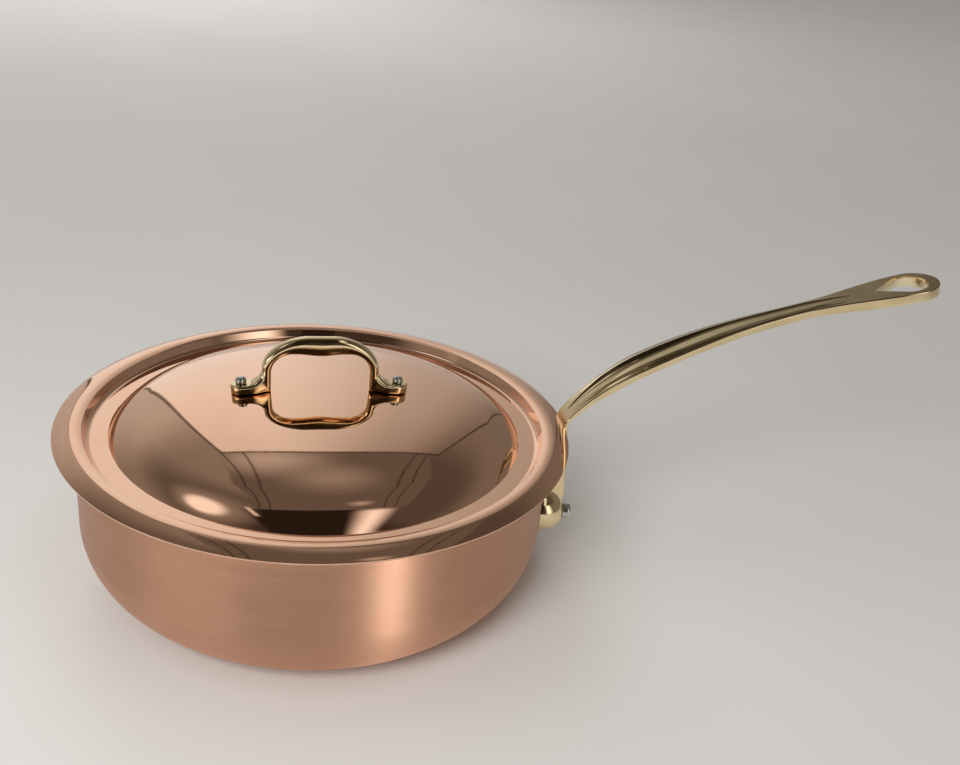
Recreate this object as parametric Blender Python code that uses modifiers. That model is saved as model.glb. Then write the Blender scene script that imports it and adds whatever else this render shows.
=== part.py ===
"""A straight-sided copper saute pan with a domed lid. Metres, +Z up.

The origin is the middle of the flat base, on the pan's axis. The long cast handle
points along +X, and the loop handle of the lid lies in the same upright plane.
Two skins make each shell, copper outside and steel inside. The handles are cast
brass, and each is held by two steel rivets that go through the metal.
"""
import math

import bmesh
import bpy

# Clearances between neighbours
SKIN_GAP = 0.0003            # between a copper skin and the steel skin inside it
SEAT_GAP = 0.0003            # between a piece and the piece that it sits on
HOLE_GAP = 0.0003            # round a rivet's shank
LID_HANDLE_GAP = 0.0009      # from the lid's edge to the long handle's neck

# Pan body
PAN_RADIUS = 0.1268          # outside of the straight wall
RIM_HEIGHT = 0.0900          # underside of the base to the top of the lip
BASE_CORNER = 0.0410         # outside radius between wall and base
PAN_COPPER = 0.0020
PAN_STEEL = 0.0006
LIP_REACH = 0.0054           # how far the lip stands out past the wall
LIP_BEND = 0.0050            # outside radius of the bend below the lip
LIP_SLOPE = math.radians(19)

# Lid
LID_COPPER = 0.0012
LID_STEEL = 0.0005
LID_OVERHANG = 0.0053        # the lid's edge past the pan's lip
LID_RIDGE_INSET = 0.0070     # from the lid's edge in to the ridge
LID_BAND_DROP = 0.0029       # from the ridge down to the edge
LID_RING_WIDTH = 0.0078      # the ring that rests on the pan's lip
RIDGE_BEND = 0.0030          # how far the rounding of the ridge runs each way
CHANNEL_WIDTH = 0.0127       # from the ring's inner edge to the foot of the dome
CHANNEL_DEPTH = 0.0035
CHANNEL_BEND = 0.0032
DOME_RISE = 0.0218
DOME_RADIUS = 0.700          # in the nearly flat middle of the dome
DOME_CURL = 65.0             # how much faster the dome falls away further out
SHOULDER_WIDTH = 0.0180

# Loop handle of the lid
LOOP_HEIGHT = 0.0310         # top of the loop above the dome under its legs
LOOP_INNER_HALF = 0.0262
LOOP_LEG = 0.0048
LOOP_BAR = 0.0097
LOOP_DEPTH = 0.0080
LOOP_BOW = 0.0010            # the small dip in the middle of the grip's underside
LOOP_BOW_HALF = 0.0130
LOOP_INNER_CORNER = 0.0105
LOOP_SHOULDER = 0.0240       # each outer corner of the grip, along and up
LOOP_SHOULDER_DROP = 0.0175
LOOP_FILLET = 0.0072
FOOT_LENGTH = 0.0160         # from the leg's outer face to the end of the foot
FOOT_WIDTH = 0.0112
FOOT_THICKNESS = 0.0052
LID_RIVET_INSET = 0.0056     # from the foot's end to the rivet

# Rivets of the lid
LID_RIVET_SHANK = 0.0017
LID_RIVET_HEAD = 0.0029
LID_RIVET_HEIGHT = 0.0041
LID_RIVET_TAIL = 0.0032
LID_RIVET_TAIL_HEIGHT = 0.0010

# Long handle: arm
ARM_RISE_ANGLE = math.radians(49)    # slope where the arm leaves the neck
ARM_BEND_1 = 0.135
ARM_ANGLE_1 = math.radians(26.6)
ARM_BEND_2 = 0.400
ARM_ANGLE_2 = math.radians(16.5)
ARM_ANGLE_3 = math.radians(12.8)
ARM_STRAIGHT = 0.0180        # from the end of the last bend to the middle of the eye
ARM_REACH = 0.2185           # from the lid's edge to the end of the eye
ARM_ROOT_WIDTH = 0.0164
ARM_SWELL_WIDTH = 0.0232
ARM_WAIST_WIDTH = 0.0140
ARM_SWELL_AT = 0.0450        # from the neck to the widest place
ARM_WAIST_AT = 0.1380
ARM_SIDE = 0.0030            # height of the upright side of the arm
ARM_BELLY = 0.0032           # the rounded underside below it
EYE_WIDTH = 0.0300
EYE_SIDE = 0.0058
EYE_BELLY = 0.0008
EYE_HOLE_RADIUS = 0.0112
EYE_HOLE_TAIL = 0.0200       # from the hole's centre to its pointed end
GROOVE_SHARE = 0.53          # of the arm's width that the groove takes
GROOVE_DEPTH = 0.0020
GROOVE_START = 0.0030        # groove's first tip, past the neck
GROOVE_END = 0.0530          # groove's second tip, before the end of the eye
GROOVE_OPENING = 0.0200      # length over which the groove opens at its first tip
GROOVE_CLOSING = 0.0250      # length over which it closes at its second tip
CROWN = 0.0013               # height of the groove's rims over the arm's edges

# Long handle: neck, foot plate and ears
NECK_TOP_DROP = 0.0020       # bend of the neck below the lid's edge
NECK_BEND = 0.0120
NECK_ANGLE = math.radians(80)
WEB_WIDTH = 0.0158
WEB_OUTER_FOOT = 0.0066      # foot of the web past the lid's edge
WEB_EDGE = 0.0016
EAR_SPREAD = 0.0240          # each rivet from the middle of the handle
EAR_CLIMB = 0.0020           # rivets above the top of the base's curve
EAR_RADIUS = 0.0122
EAR_HEIGHT = 0.0125
EAR_FLAT = 0.0054            # radius of the flat under the rivet's head
PLATE_HALF_HEIGHT = 0.0092
PLATE_THICKNESS = 0.0052
PLATE_EDGE = 0.0040

# Rivets of the long handle
PAN_RIVET_SHANK = 0.0027
PAN_RIVET_HEAD = 0.0043
PAN_RIVET_HEIGHT = 0.0056
PAN_RIVET_TAIL = 0.0058
PAN_RIVET_TAIL_HEIGHT = 0.0016

# How finely round shapes are cut
TURN_STEPS = 44
RIVET_STEPS = 16

# Sizes that follow from the ones above
PAN_SHEET = PAN_COPPER + SKIN_GAP + PAN_STEEL
LID_SHEET = LID_COPPER + SKIN_GAP + LID_STEEL
LIP_RADIUS = PAN_RADIUS + LIP_REACH
LID_RADIUS = LIP_RADIUS + LID_OVERHANG


def arc(center, radius, start, end, steps, rise=None):
    """Points on an arc from one angle to another in degrees, or on an oval of this rise."""
    points = []
    for i in range(steps + 1):
        angle = math.radians(start + (end - start) * i / steps)
        z = center[1] + (rise or radius) * math.sin(angle)
        points.append((center[0] + radius * math.cos(angle), z))
    return points


def bezier(start, control, end, steps):
    """Points after the start on a curve that leaves and arrives toward one control."""
    points = []
    for i in range(1, steps + 1):
        t = i / steps
        points.append(tuple(
            (1 - t) ** 2 * a + 2 * t * (1 - t) * b + t * t * c
            for a, b, c in zip(start, control, end)
        ))
    return points


def offset_line(points, distance):
    """The line moved to its left by a distance, with mitred corners."""
    moved = []
    last = len(points) - 1
    for i, (x, z) in enumerate(points):
        before = points[max(i - 1, 0)]
        after = points[min(i + 1, last)]
        normals = []
        for (ax, az), (bx, bz) in ((before, (x, z)), ((x, z), after)):
            length = math.hypot(bx - ax, bz - az)
            if length > 0:
                normals.append(((az - bz) / length, (bx - ax) / length))
        nx = sum(n[0] for n in normals)
        nz = sum(n[1] for n in normals)
        scale = distance * 2 / (nx * nx + nz * nz) if len(normals) == 2 else distance
        moved.append((x + nx * scale, z + nz * scale))
    return moved


def toward(start, end, distance):
    """The point at a distance from the start on the way to the end."""
    share = distance / math.dist(start, end)
    return tuple(blend(a, b, share) for a, b in zip(start, end))


def smooth_step(value):
    """0 to 1 with level ends."""
    value = min(max(value, 0.0), 1.0)
    return value * value * (3 - 2 * value)


def blend(a, b, share):
    return a + (b - a) * share


# The lines that the two shells follow

def pan_outside():
    """The pan's outer surface, from the middle of the base up to the lip's edge."""
    bend_end = 90 + math.degrees(LIP_SLOPE)
    line = [(0.0, 0.0)]
    line += arc((PAN_RADIUS - BASE_CORNER, BASE_CORNER), BASE_CORNER, -90, 0, 6)
    line += arc((PAN_RADIUS + LIP_BEND, bend_height()), LIP_BEND, 180, bend_end, 3)
    last_x, last_z = line[-1]
    line.append((LIP_RADIUS, last_z + (LIP_RADIUS - last_x) * math.tan(LIP_SLOPE)))
    return line


def bend_height():
    """Height at which the straight wall ends and the lip's bend starts."""
    bend_x = PAN_RADIUS + LIP_BEND - LIP_BEND * math.sin(LIP_SLOPE)
    rise = LIP_BEND * math.cos(LIP_SLOPE) + (LIP_RADIUS - bend_x) * math.tan(LIP_SLOPE)
    return RIM_HEIGHT - rise - PAN_SHEET * math.cos(LIP_SLOPE)


def ring_height(radius):
    """Height of the lid's top surface over the pan's lip, along the slope of the lip."""
    rim_radius = LIP_RADIUS - PAN_SHEET * math.sin(LIP_SLOPE)
    above = (SEAT_GAP + LID_SHEET) / math.cos(LIP_SLOPE)
    return RIM_HEIGHT + (radius - rim_radius) * math.tan(LIP_SLOPE) + above


RIDGE_RADIUS = LID_RADIUS - LID_RIDGE_INSET
RING_RADIUS = RIDGE_RADIUS - LID_RING_WIDTH
DOME_FOOT = RING_RADIUS - CHANNEL_WIDTH
LID_EDGE_HEIGHT = ring_height(RIDGE_RADIUS) - LID_BAND_DROP
CHANNEL_HEIGHT = ring_height(RING_RADIUS) - CHANNEL_DEPTH


def dome_height(x):
    """Height of the dome's top surface at a distance from the axis."""
    return CHANNEL_HEIGHT + DOME_RISE - x ** 2 / (2 * DOME_RADIUS) - DOME_CURL * x ** 4


def dome_lean(x):
    """How far the dome slopes there."""
    return math.atan(x / DOME_RADIUS + 4 * DOME_CURL * x ** 3)


def lid_top():
    """The lid's top surface, from the middle of the dome out to its edge."""
    shoulder = DOME_FOOT - SHOULDER_WIDTH
    places = [shoulder * share ** 0.7 for share in (0.0, 0.25, 0.5, 0.75, 1.0)]
    line = [(x, dome_height(x)) for x in places]
    bend = SHOULDER_WIDTH * 0.45
    control = (shoulder + bend, line[-1][1] - bend * math.tan(dome_lean(shoulder)))
    line += bezier(line[-1], control, (DOME_FOOT, CHANNEL_HEIGHT), 3)
    bend_x = RING_RADIUS - CHANNEL_BEND * 1.45
    line += arc((bend_x, CHANNEL_HEIGHT + CHANNEL_BEND), CHANNEL_BEND, -90, -25, 3)
    line.append((RING_RADIUS, ring_height(RING_RADIUS)))
    edge = (LID_RADIUS, LID_EDGE_HEIGHT)
    ridge = (RIDGE_RADIUS, ring_height(RIDGE_RADIUS))
    line.append(toward(ridge, line[-1], RIDGE_BEND))
    line += bezier(line[-1], ridge, toward(ridge, edge, RIDGE_BEND), 2)
    line.append(edge)
    return line


def wall_inside(z):
    """Radius of the lining's inner face at a height, on the flats of its facets."""
    line = offset_line(pan_outside(), PAN_SHEET)
    for (ax, az), (bx, bz) in zip(line[1:], line[2:]):
        if az <= z <= bz:
            return blend(ax, bx, (z - az) / (bz - az)) * math.cos(math.pi / TURN_STEPS)
    return PAN_RADIUS - PAN_SHEET


def outline_between(outer, inner):
    """Closed half section of a shell: in along one line, back along the other."""
    outer = [(max(x, 0.0), z) for x, z in outer]
    inner = [(max(x, 0.0), z) for x, z in inner]
    return outer + inner[::-1]


# Blender objects

def collection(name):
    made = bpy.data.collections.new(name)
    bpy.context.scene.collection.children.link(made)
    return made


def material(name, color, roughness):
    made = bpy.data.materials.new(name)
    made.use_nodes = True
    shader = made.node_tree.nodes["Principled BSDF"]
    shader.inputs["Base Color"].default_value = (*color, 1.0)
    shader.inputs["Metallic"].default_value = 1.0
    shader.inputs["Roughness"].default_value = roughness
    return made


def add_object(name, mesh, group, finish=None):
    made = bpy.data.objects.new(name, mesh)
    group.objects.link(made)
    if finish:
        mesh.materials.append(finish)
    else:
        made.display_type = "WIRE"
        made.hide_render = True
    return made


def turned(name, outline, group, finish=None, steps=TURN_STEPS, start=0.0):
    """A piece turned about Z from an outline that starts and ends on the axis."""
    mesh = bpy.data.meshes.new(name)
    edges = [(i, i + 1) for i in range(len(outline) - 1)]
    corners = [(x * math.cos(start), x * math.sin(start), z) for x, z in outline]
    mesh.from_pydata(corners, edges, [])
    made = add_object(name, mesh, group, finish)
    screw = made.modifiers.new("turn", "SCREW")
    screw.steps = steps
    screw.render_steps = steps
    screw.use_merge_vertices = True
    screw.merge_threshold = 0.00001
    screw.use_smooth_shade = True
    return made


def skinned(name, rings, group, finish=None, closed=True, cap_last=True, cap_first=True):
    """A skin through rings of points that all have the same count."""
    shape = bmesh.new()
    made_rings = [[shape.verts.new(p) for p in ring] for ring in rings]
    count = len(rings[0])
    spans = count if closed else count - 1
    for first, second in zip(made_rings, made_rings[1:]):
        for i in range(spans):
            j = (i + 1) % count
            shape.faces.new((first[i], first[j], second[j], second[i]))
    if cap_first:
        shape.faces.new(made_rings[0][::-1])
    if cap_last:
        shape.faces.new(made_rings[-1])
    mesh = bpy.data.meshes.new(name)
    shape.to_mesh(mesh)
    shape.free()
    mesh.shade_smooth()
    mesh.set_sharp_from_angle(angle=math.radians(35))
    return add_object(name, mesh, group, finish)


def slab(name, outline, depth, group):
    """A flat outline in its own XY plane, given a thickness along Z."""
    shape = bmesh.new()
    corners = [shape.verts.new((x, y, -depth / 2)) for x, y in outline]
    face = shape.faces.new(corners)
    raised = bmesh.ops.extrude_face_region(shape, geom=[face])
    tops = [item for item in raised["geom"] if isinstance(item, bmesh.types.BMVert)]
    bmesh.ops.translate(shape, verts=tops, vec=(0.0, 0.0, depth))
    bmesh.ops.recalc_face_normals(shape, faces=shape.faces)
    mesh = bpy.data.meshes.new(name)
    shape.to_mesh(mesh)
    shape.free()
    return add_object(name, mesh, group)


def combine(target, tool, operation):
    step = target.modifiers.new(tool.name, "BOOLEAN")
    step.operation = operation
    step.object = tool
    step.solver = "EXACT"


def mirror(target, axis):
    step = target.modifiers.new("mirror", "MIRROR")
    step.use_axis = [i == axis for i in range(3)]
    step.merge_threshold = 0.00001


# Pan and lid shells

def make_shells(parts, copper, steel):
    outside = pan_outside()
    copper_inside = offset_line(outside, PAN_COPPER)
    steel_outside = offset_line(outside, PAN_COPPER + SKIN_GAP)
    steel_inside = offset_line(outside, PAN_SHEET)
    pan = turned("pan_body", outline_between(copper_inside, outside), parts, copper)
    lining = turned("pan_lining", outline_between(steel_inside, steel_outside), parts, steel)

    top = lid_top()
    lid = turned("lid_shell", outline_between(top, offset_line(top, -LID_COPPER)), parts, copper)
    covered = len([p for p in top if p[0] < RIDGE_RADIUS - RIDGE_BEND / 2])
    steel_top = offset_line(top, -LID_COPPER - SKIN_GAP)[:covered]
    steel_under = offset_line(top, -LID_SHEET)[:covered]
    lid_lining = turned("lid_lining", outline_between(steel_top, steel_under), parts, steel)
    return pan, lining, lid, lid_lining


# Rivets

def rivet_outline(shank, head, head_height, seat, tail, tail_height, tail_seat):
    """Half section of a rivet: barrel head outside, flatter hammered tail inside.

    Heights run along the rivet's own axis, and the head sits at seat."""
    crown = head * 0.55
    straight = max(head_height - crown, head_height * 0.2)
    line = [(0.0, seat + head_height)]
    for share in (0.5, 0.8, 0.96):
        drop = (head_height - straight) * (1 - math.sqrt(1 - share * share))
        line.append((head * share, seat + head_height - drop))
    line.append((head, seat + straight))
    line.append((head, seat))
    line.append((shank, seat))
    line.append((shank, tail_seat))
    line.append((tail, tail_seat))
    line.append((tail * 0.75, tail_seat - tail_height * 0.7))
    line.append((0.0, tail_seat - tail_height))
    return line


def shank_cutter(name, radius, low, high, group):
    line = [(0.0, high), (radius, high), (radius, low), (0.0, low)]
    return turned(name, line, group, steps=RIVET_STEPS, start=math.pi / RIVET_STEPS)


def place(made, height, lean, turn):
    """Put a piece's own axis through the pan's axis, leaned from upright and turned."""
    made.location = (0.0, 0.0, height)
    made.rotation_euler = (0.0, lean, turn)
    return made


# Long handle

def arm_stations():
    """Places along the arm's top face: x, z and slope, from the neck to the eye."""
    x = NECK_X
    z = LID_EDGE_HEIGHT - NECK_TOP_DROP
    buried = WEB_EDGE * 2
    stations = [(x - buried * math.cos(NECK_ANGLE), z - buried * math.sin(NECK_ANGLE), NECK_ANGLE)]
    angle = NECK_ANGLE
    bends = (
        (NECK_BEND, ARM_RISE_ANGLE, 4),
        (ARM_BEND_1, ARM_ANGLE_1, 9),
        (ARM_BEND_2, ARM_ANGLE_2, 7),
        (None, ARM_ANGLE_3, 8),
    )
    for radius, end_angle, steps in bends:
        if radius is None:    # the last bend fills the length that is left
            left = EYE_CENTER_X - ARM_STRAIGHT - x
            radius = left / (math.sin(angle) - math.sin(end_angle))
        for i in range(steps):
            here = blend(angle, end_angle, i / steps)
            stations.append((
                x + radius * (math.sin(angle) - math.sin(here)),
                z + radius * (math.cos(here) - math.cos(angle)),
                here,
            ))
        x += radius * (math.sin(angle) - math.sin(end_angle))
        z += radius * (math.cos(end_angle) - math.cos(angle))
        angle = end_angle
    eye_x = EYE_CENTER_X
    straight_steps = 2
    for i in range(straight_steps):
        along = blend(x, eye_x, i / straight_steps)
        stations.append((along, z + (along - x) * math.tan(angle), angle))
    for degrees in (0, 15, 30, 45, 60, 73, 83, 88):
        along = eye_x + EYE_WIDTH / 2 * math.sin(math.radians(degrees))
        stations.append((along, z + (along - x) * math.tan(angle), angle))
    return stations


ARM_END_X = LID_RADIUS + ARM_REACH
EYE_CENTER_X = ARM_END_X - EYE_WIDTH / 2
NECK_X = LID_RADIUS + LID_HANDLE_GAP


def arm_width(x):
    """Width of the arm seen from above."""
    swell_x = NECK_X + ARM_SWELL_AT
    waist_x = NECK_X + ARM_WAIST_AT
    if x < swell_x:
        return blend(ARM_ROOT_WIDTH, ARM_SWELL_WIDTH, smooth_step((x - NECK_X) / ARM_SWELL_AT))
    if x < waist_x:
        share = smooth_step((x - swell_x) / (waist_x - swell_x))
        return blend(ARM_SWELL_WIDTH, ARM_WAIST_WIDTH, share)
    if x < EYE_CENTER_X:
        share = smooth_step((x - waist_x) / (EYE_CENTER_X - waist_x))
        return blend(ARM_WAIST_WIDTH, EYE_WIDTH, share)
    past = min(x - EYE_CENTER_X, EYE_WIDTH / 2)
    return 2 * math.sqrt((EYE_WIDTH / 2) ** 2 - past ** 2)


def groove_half(x):
    """Half width of the long groove, which comes to a point at both ends."""
    start = NECK_X + GROOVE_START
    end = ARM_END_X - GROOVE_END
    opening = min(max((x - start) / GROOVE_OPENING, 0.0), 1.0)
    closing = min(max((end - x) / GROOVE_CLOSING, 0.0), 1.0)
    return arm_width(x) / 2 * GROOVE_SHARE * math.sqrt(opening) * closing ** 0.75


def arm_half_section(x):
    """Half of the arm's section, from the middle of its top round to the middle below."""
    half = arm_width(x) / 2
    share = groove_half(x) / (ARM_SWELL_WIDTH / 2 * GROOVE_SHARE)
    groove = max(groove_half(x), half * 0.03)
    crown = CROWN * share
    depth = GROOVE_DEPTH * share
    to_eye = smooth_step((x - (NECK_X + ARM_WAIST_AT * 0.85)) / (ARM_REACH * 0.3))
    from_root = smooth_step((x - NECK_X) / (ARM_SWELL_AT * 0.6))
    side = blend(blend(ARM_SIDE * 0.7, ARM_SIDE, from_root), EYE_SIDE, to_eye)
    belly = blend(blend(ARM_BELLY * 0.2, ARM_BELLY, from_root), EYE_BELLY, to_eye)
    edge = min(half * 0.12, ARM_SIDE * 0.2)
    rim = blend(groove, half, 0.45)
    return [
        (0.0, crown - depth),
        (groove * 0.5, crown - depth * 0.75),
        (groove, crown),
        (rim, crown * 0.62),
        (half - edge, 0.0),
        (half, -edge),
        (half, -side),
        (half * 0.80, -side - belly * 0.60),
        (half * 0.42, -side - belly * 0.93),
        (0.0, -side - belly),
    ]


def make_handle(parts, tools, brass, pan_tool):
    rings = []
    for x, z, angle in arm_stations():
        up_x = -math.sin(angle)
        up_z = math.cos(angle)
        section = reversed(arm_half_section(x))
        rings.append([(x + h * up_x, y, z + h * up_z) for y, h in section])
    handle = skinned("pan_handle", rings, parts, brass, closed=False)
    mirror(handle, axis=1)

    web = make_web(tools)
    combine(handle, web, "UNION")
    plate = make_plate(tools)
    combine(handle, plate, "UNION")
    for side in (-1, 1):
        ear = place(make_ear(tools, side), ear_height(), math.pi / 2, side * ear_turn())
        combine(handle, ear, "UNION")
    combine(handle, pan_tool, "DIFFERENCE")
    combine(handle, make_eye_hole(tools), "DIFFERENCE")
    return handle


def ear_height():
    return BASE_CORNER + EAR_CLIMB


def ear_turn():
    """How far round the wall each ear sits from the middle of the handle."""
    return math.asin(EAR_SPREAD / PAN_RADIUS)


def make_ear(tools, side):
    """A domed boss on the wall with a flat for the rivet's head."""
    start = math.asin(EAR_FLAT / EAR_RADIUS)
    height = EAR_HEIGHT / math.cos(start)
    line = [(0.0, PAN_RADIUS + EAR_HEIGHT)]
    steps = 5
    for i in range(steps + 1):
        angle = blend(start, math.pi / 2, i / steps)
        line.append((EAR_RADIUS * math.sin(angle), PAN_RADIUS + height * math.cos(angle)))
    buried = PAN_RADIUS - PAN_SHEET - EAR_RADIUS
    line += [(EAR_RADIUS, buried), (0.0, buried)]
    return turned(f"ear_tool_{side + 2}", line, tools, steps=20)


def make_web(tools):
    """The upright neck between the wall and the arm, rounded at its lower end."""
    foot_z = ear_height() - EAR_RADIUS * 0.85
    foot_x = LID_RADIUS + WEB_OUTER_FOOT
    top_z = LID_EDGE_HEIGHT - NECK_TOP_DROP - WEB_EDGE
    under_lip = LID_EDGE_HEIGHT - LID_OVERHANG - PAN_SHEET
    buried = PAN_RADIUS - PAN_SHEET - EAR_RADIUS / 2
    corner = EAR_RADIUS * 0.7
    outline = [(buried, foot_z)]
    outline += arc((foot_x - corner, foot_z + corner), corner, -90, 0, 3)
    outline.append((NECK_X + ARM_SIDE * 0.9, top_z))
    outline.append((NECK_X, top_z))
    outline.append((LIP_RADIUS, under_lip))
    outline.append((buried, under_lip - LIP_REACH))
    web = slab("web_tool", outline, WEB_WIDTH, tools)
    web.rotation_euler = (math.pi / 2, 0.0, 0.0)
    bevel = web.modifiers.new("edges", "BEVEL")
    bevel.width = WEB_EDGE
    bevel.segments = 2
    bevel.limit_method = "ANGLE"
    bevel.angle_limit = math.radians(40)
    return web


def make_plate(tools):
    """The plate behind the neck that joins the two ears."""
    low = PAN_RADIUS - PAN_SHEET - EAR_RADIUS / 2
    high = PAN_RADIUS + PLATE_THICKNESS
    outline = [
        (low, -EAR_SPREAD),
        (high, -EAR_SPREAD),
        (high, EAR_SPREAD),
        (low, EAR_SPREAD),
    ]
    plate = slab("plate_tool", outline, PLATE_HALF_HEIGHT * 2, tools)
    plate.location = (0.0, 0.0, ear_height())
    bevel = plate.modifiers.new("edges", "BEVEL")
    bevel.width = PLATE_EDGE
    bevel.segments = 3
    return plate


def make_eye_hole(tools):
    """A drop-shaped slab that cuts the hanging hole square to the arm's top face."""
    reach = math.degrees(math.acos(EYE_HOLE_RADIUS / EYE_HOLE_TAIL))
    outline = arc((0.0, 0.0), EYE_HOLE_RADIUS, reach - 180, 180 - reach, 14)
    tip = EYE_HOLE_RADIUS * 0.12
    outline += arc((tip - EYE_HOLE_TAIL, 0.0), tip, 180 - reach, 180 + reach, 2)
    hole = slab("eye_tool", outline, EYE_WIDTH, tools)
    stations = arm_stations()
    middle = min(stations, key=lambda s: abs(s[0] - EYE_CENTER_X))
    hole.location = (middle[0] - EYE_WIDTH * 0.07, 0.0, middle[1] - EYE_SIDE / 2)
    hole.rotation_euler = (0.0, -ARM_ANGLE_3, 0.0)
    return hole


# Loop handle of the lid

def dome_point(x, above):
    """A point at this x on the dome's middle line, at a height square to the dome."""
    lean = dome_lean(x)
    return (x + above * math.sin(lean), dome_height(x) + above * math.cos(lean))


def loop_stations():
    """Pairs of points, one under or inside the loop and one on its outside.

    They run from the end of one foot to the middle of the grip, with half the
    depth of the bar and how square its section is."""
    leg_out = LOOP_INNER_HALF + LOOP_LEG
    foot_end = leg_out + FOOT_LENGTH
    base = dome_point(LOOP_INNER_HALF, SEAT_GAP)[1]
    top = base + LOOP_HEIGHT
    half_foot = FOOT_WIDTH / 2
    stations = []
    for degrees in (82, 62, 38, 12):
        x = foot_end - half_foot + half_foot * math.sin(math.radians(degrees))
        depth = half_foot * math.cos(math.radians(degrees))
        stations.append((dome_point(x, SEAT_GAP), dome_point(x, SEAT_GAP + FOOT_THICKNESS), depth, 4.0))

    fillet_x = leg_out + LOOP_FILLET
    foot_top = dome_point(fillet_x, SEAT_GAP + FOOT_THICKNESS)[1]
    fillet = arc((fillet_x, foot_top + LOOP_FILLET), LOOP_FILLET, -90, -180, 4)
    for i, outside in enumerate(fillet):
        share = i / 4
        x = blend(fillet_x - LOOP_LEG / 2, LOOP_INNER_HALF, share)
        depth = blend(half_foot, LOOP_DEPTH / 2, smooth_step(share))
        inside = dome_point(x, SEAT_GAP)
        stations.append((inside, outside, depth, blend(4.0, 3.0, share)))

    corner_z = top - LOOP_SHOULDER_DROP
    inner_top = top - LOOP_BAR
    inner_corner_z = inner_top - LOOP_INNER_CORNER
    leg_top = fillet[-1][1]
    inside = (LOOP_INNER_HALF, blend(base, inner_corner_z, 0.5))
    outside = (leg_out, blend(leg_top, max(corner_z, leg_top), 0.5))
    stations.append((inside, outside, LOOP_DEPTH / 2, 2.8))

    inner = arc((LOOP_INNER_HALF - LOOP_INNER_CORNER, inner_corner_z), LOOP_INNER_CORNER, 0, 90, 6)
    shoulder = (leg_out - LOOP_SHOULDER, corner_z)
    outer = arc(shoulder, LOOP_SHOULDER, 0, 90, 6, LOOP_SHOULDER_DROP)
    for inside, outside in zip(inner, outer):
        stations.append((inside, outside, LOOP_DEPTH / 2, 2.6))

    inner_x = inner[-1][0]
    outer_x = outer[-1][0]
    steps = 5
    for i in range(1, steps + 1):
        x = inner_x * (1 - i / steps)
        dip = LOOP_BOW * (1 + math.cos(math.pi * min(x / LOOP_BOW_HALF, 1.0))) / 2
        stations.append(((x, inner_top - dip), (outer_x * (1 - i / steps), top), LOOP_DEPTH / 2, 2.6))
    return stations


def make_loop(parts, brass):
    """Half of the loop as a skin through rounded sections, mirrored about X."""
    count = 14
    rings = []
    for inside, outside, depth, square in loop_stations():
        ring = []
        for i in range(count):
            angle = 2 * math.pi * (i + 0.5) / count
            across = math.copysign(abs(math.cos(angle)) ** (2 / square), math.cos(angle))
            sideways = math.copysign(abs(math.sin(angle)) ** (2 / square), math.sin(angle))
            share = (1 + across) / 2
            ring.append((
                blend(inside[0], outside[0], share),
                sideways * depth,
                blend(inside[1], outside[1], share),
            ))
        rings.append(ring)
    middle = rings[-1]
    rings[-1] = [(0.0, y, z) for x, y, z in middle]
    loop = skinned("lid_handle", rings, parts, brass, cap_last=False)
    mirror(loop, axis=0)
    return loop


# The whole pan

def clear_scene():
    for item in list(bpy.data.objects):
        bpy.data.objects.remove(item, do_unlink=True)


def make_pan_rivets(parts, tools, steel, pierced):
    """Two rivets through the ears, the wall and the lining."""
    seat = PAN_RADIUS + EAR_HEIGHT + SEAT_GAP
    inside = wall_inside(ear_height() - PAN_RIVET_TAIL)
    tail_seat = math.sqrt(inside ** 2 - PAN_RIVET_TAIL ** 2) - SEAT_GAP
    line = rivet_outline(
        PAN_RIVET_SHANK, PAN_RIVET_HEAD, PAN_RIVET_HEIGHT, seat,
        PAN_RIVET_TAIL, PAN_RIVET_TAIL_HEIGHT, tail_seat,
    )
    for side, name in ((-1, "right"), (1, "left")):
        rivet = turned(f"pan_rivet_{name}", line, parts, steel, steps=RIVET_STEPS)
        place(rivet, ear_height(), math.pi / 2, side * ear_turn())
        reach = PAN_RIVET_HEAD * 2
        hole = shank_cutter(
            f"pan_rivet_hole_{name}", PAN_RIVET_SHANK + HOLE_GAP,
            inside - reach, seat + reach, tools,
        )
        place(hole, ear_height(), math.pi / 2, side * ear_turn())
        for piece in pierced:
            combine(piece, hole, "DIFFERENCE")


def make_lid_rivets(parts, tools, steel, pierced):
    """Two rivets through the feet of the loop and both skins of the lid."""
    rivet_x = LOOP_INNER_HALF + LOOP_LEG + FOOT_LENGTH - LID_RIVET_INSET
    lean = dome_lean(rivet_x)
    reach = rivet_x / math.sin(lean)
    axis_height = dome_height(rivet_x) - reach * math.cos(lean)
    seat = reach + SEAT_GAP + FOOT_THICKNESS + SEAT_GAP
    tail_seat = reach - LID_SHEET - SEAT_GAP
    line = rivet_outline(
        LID_RIVET_SHANK, LID_RIVET_HEAD, LID_RIVET_HEIGHT, seat,
        LID_RIVET_TAIL, LID_RIVET_TAIL_HEIGHT, tail_seat,
    )
    for side, name in ((-1, "left"), (1, "right")):
        rivet = turned(f"lid_rivet_{name}", line, parts, steel, steps=RIVET_STEPS)
        place(rivet, axis_height, side * lean, 0.0)
        spare = LID_RIVET_HEAD * 2
        hole = shank_cutter(
            f"lid_rivet_hole_{name}", LID_RIVET_SHANK + HOLE_GAP,
            tail_seat - spare, seat + spare, tools,
        )
        place(hole, axis_height, side * lean, 0.0)
        for piece in pierced:
            combine(piece, hole, "DIFFERENCE")


def make_pan_tool(tools):
    """The pan's outer shape with the seat's gap on it, to fit the handle to the wall."""
    line = offset_line(pan_outside(), -SEAT_GAP)
    line[0] = (0.0, line[0][1])
    top = LID_EDGE_HEIGHT + EAR_RADIUS
    outline = [(0.0, top), (line[-1][0], top)] + line[::-1]
    return turned("pan_tool", outline, tools)


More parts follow.
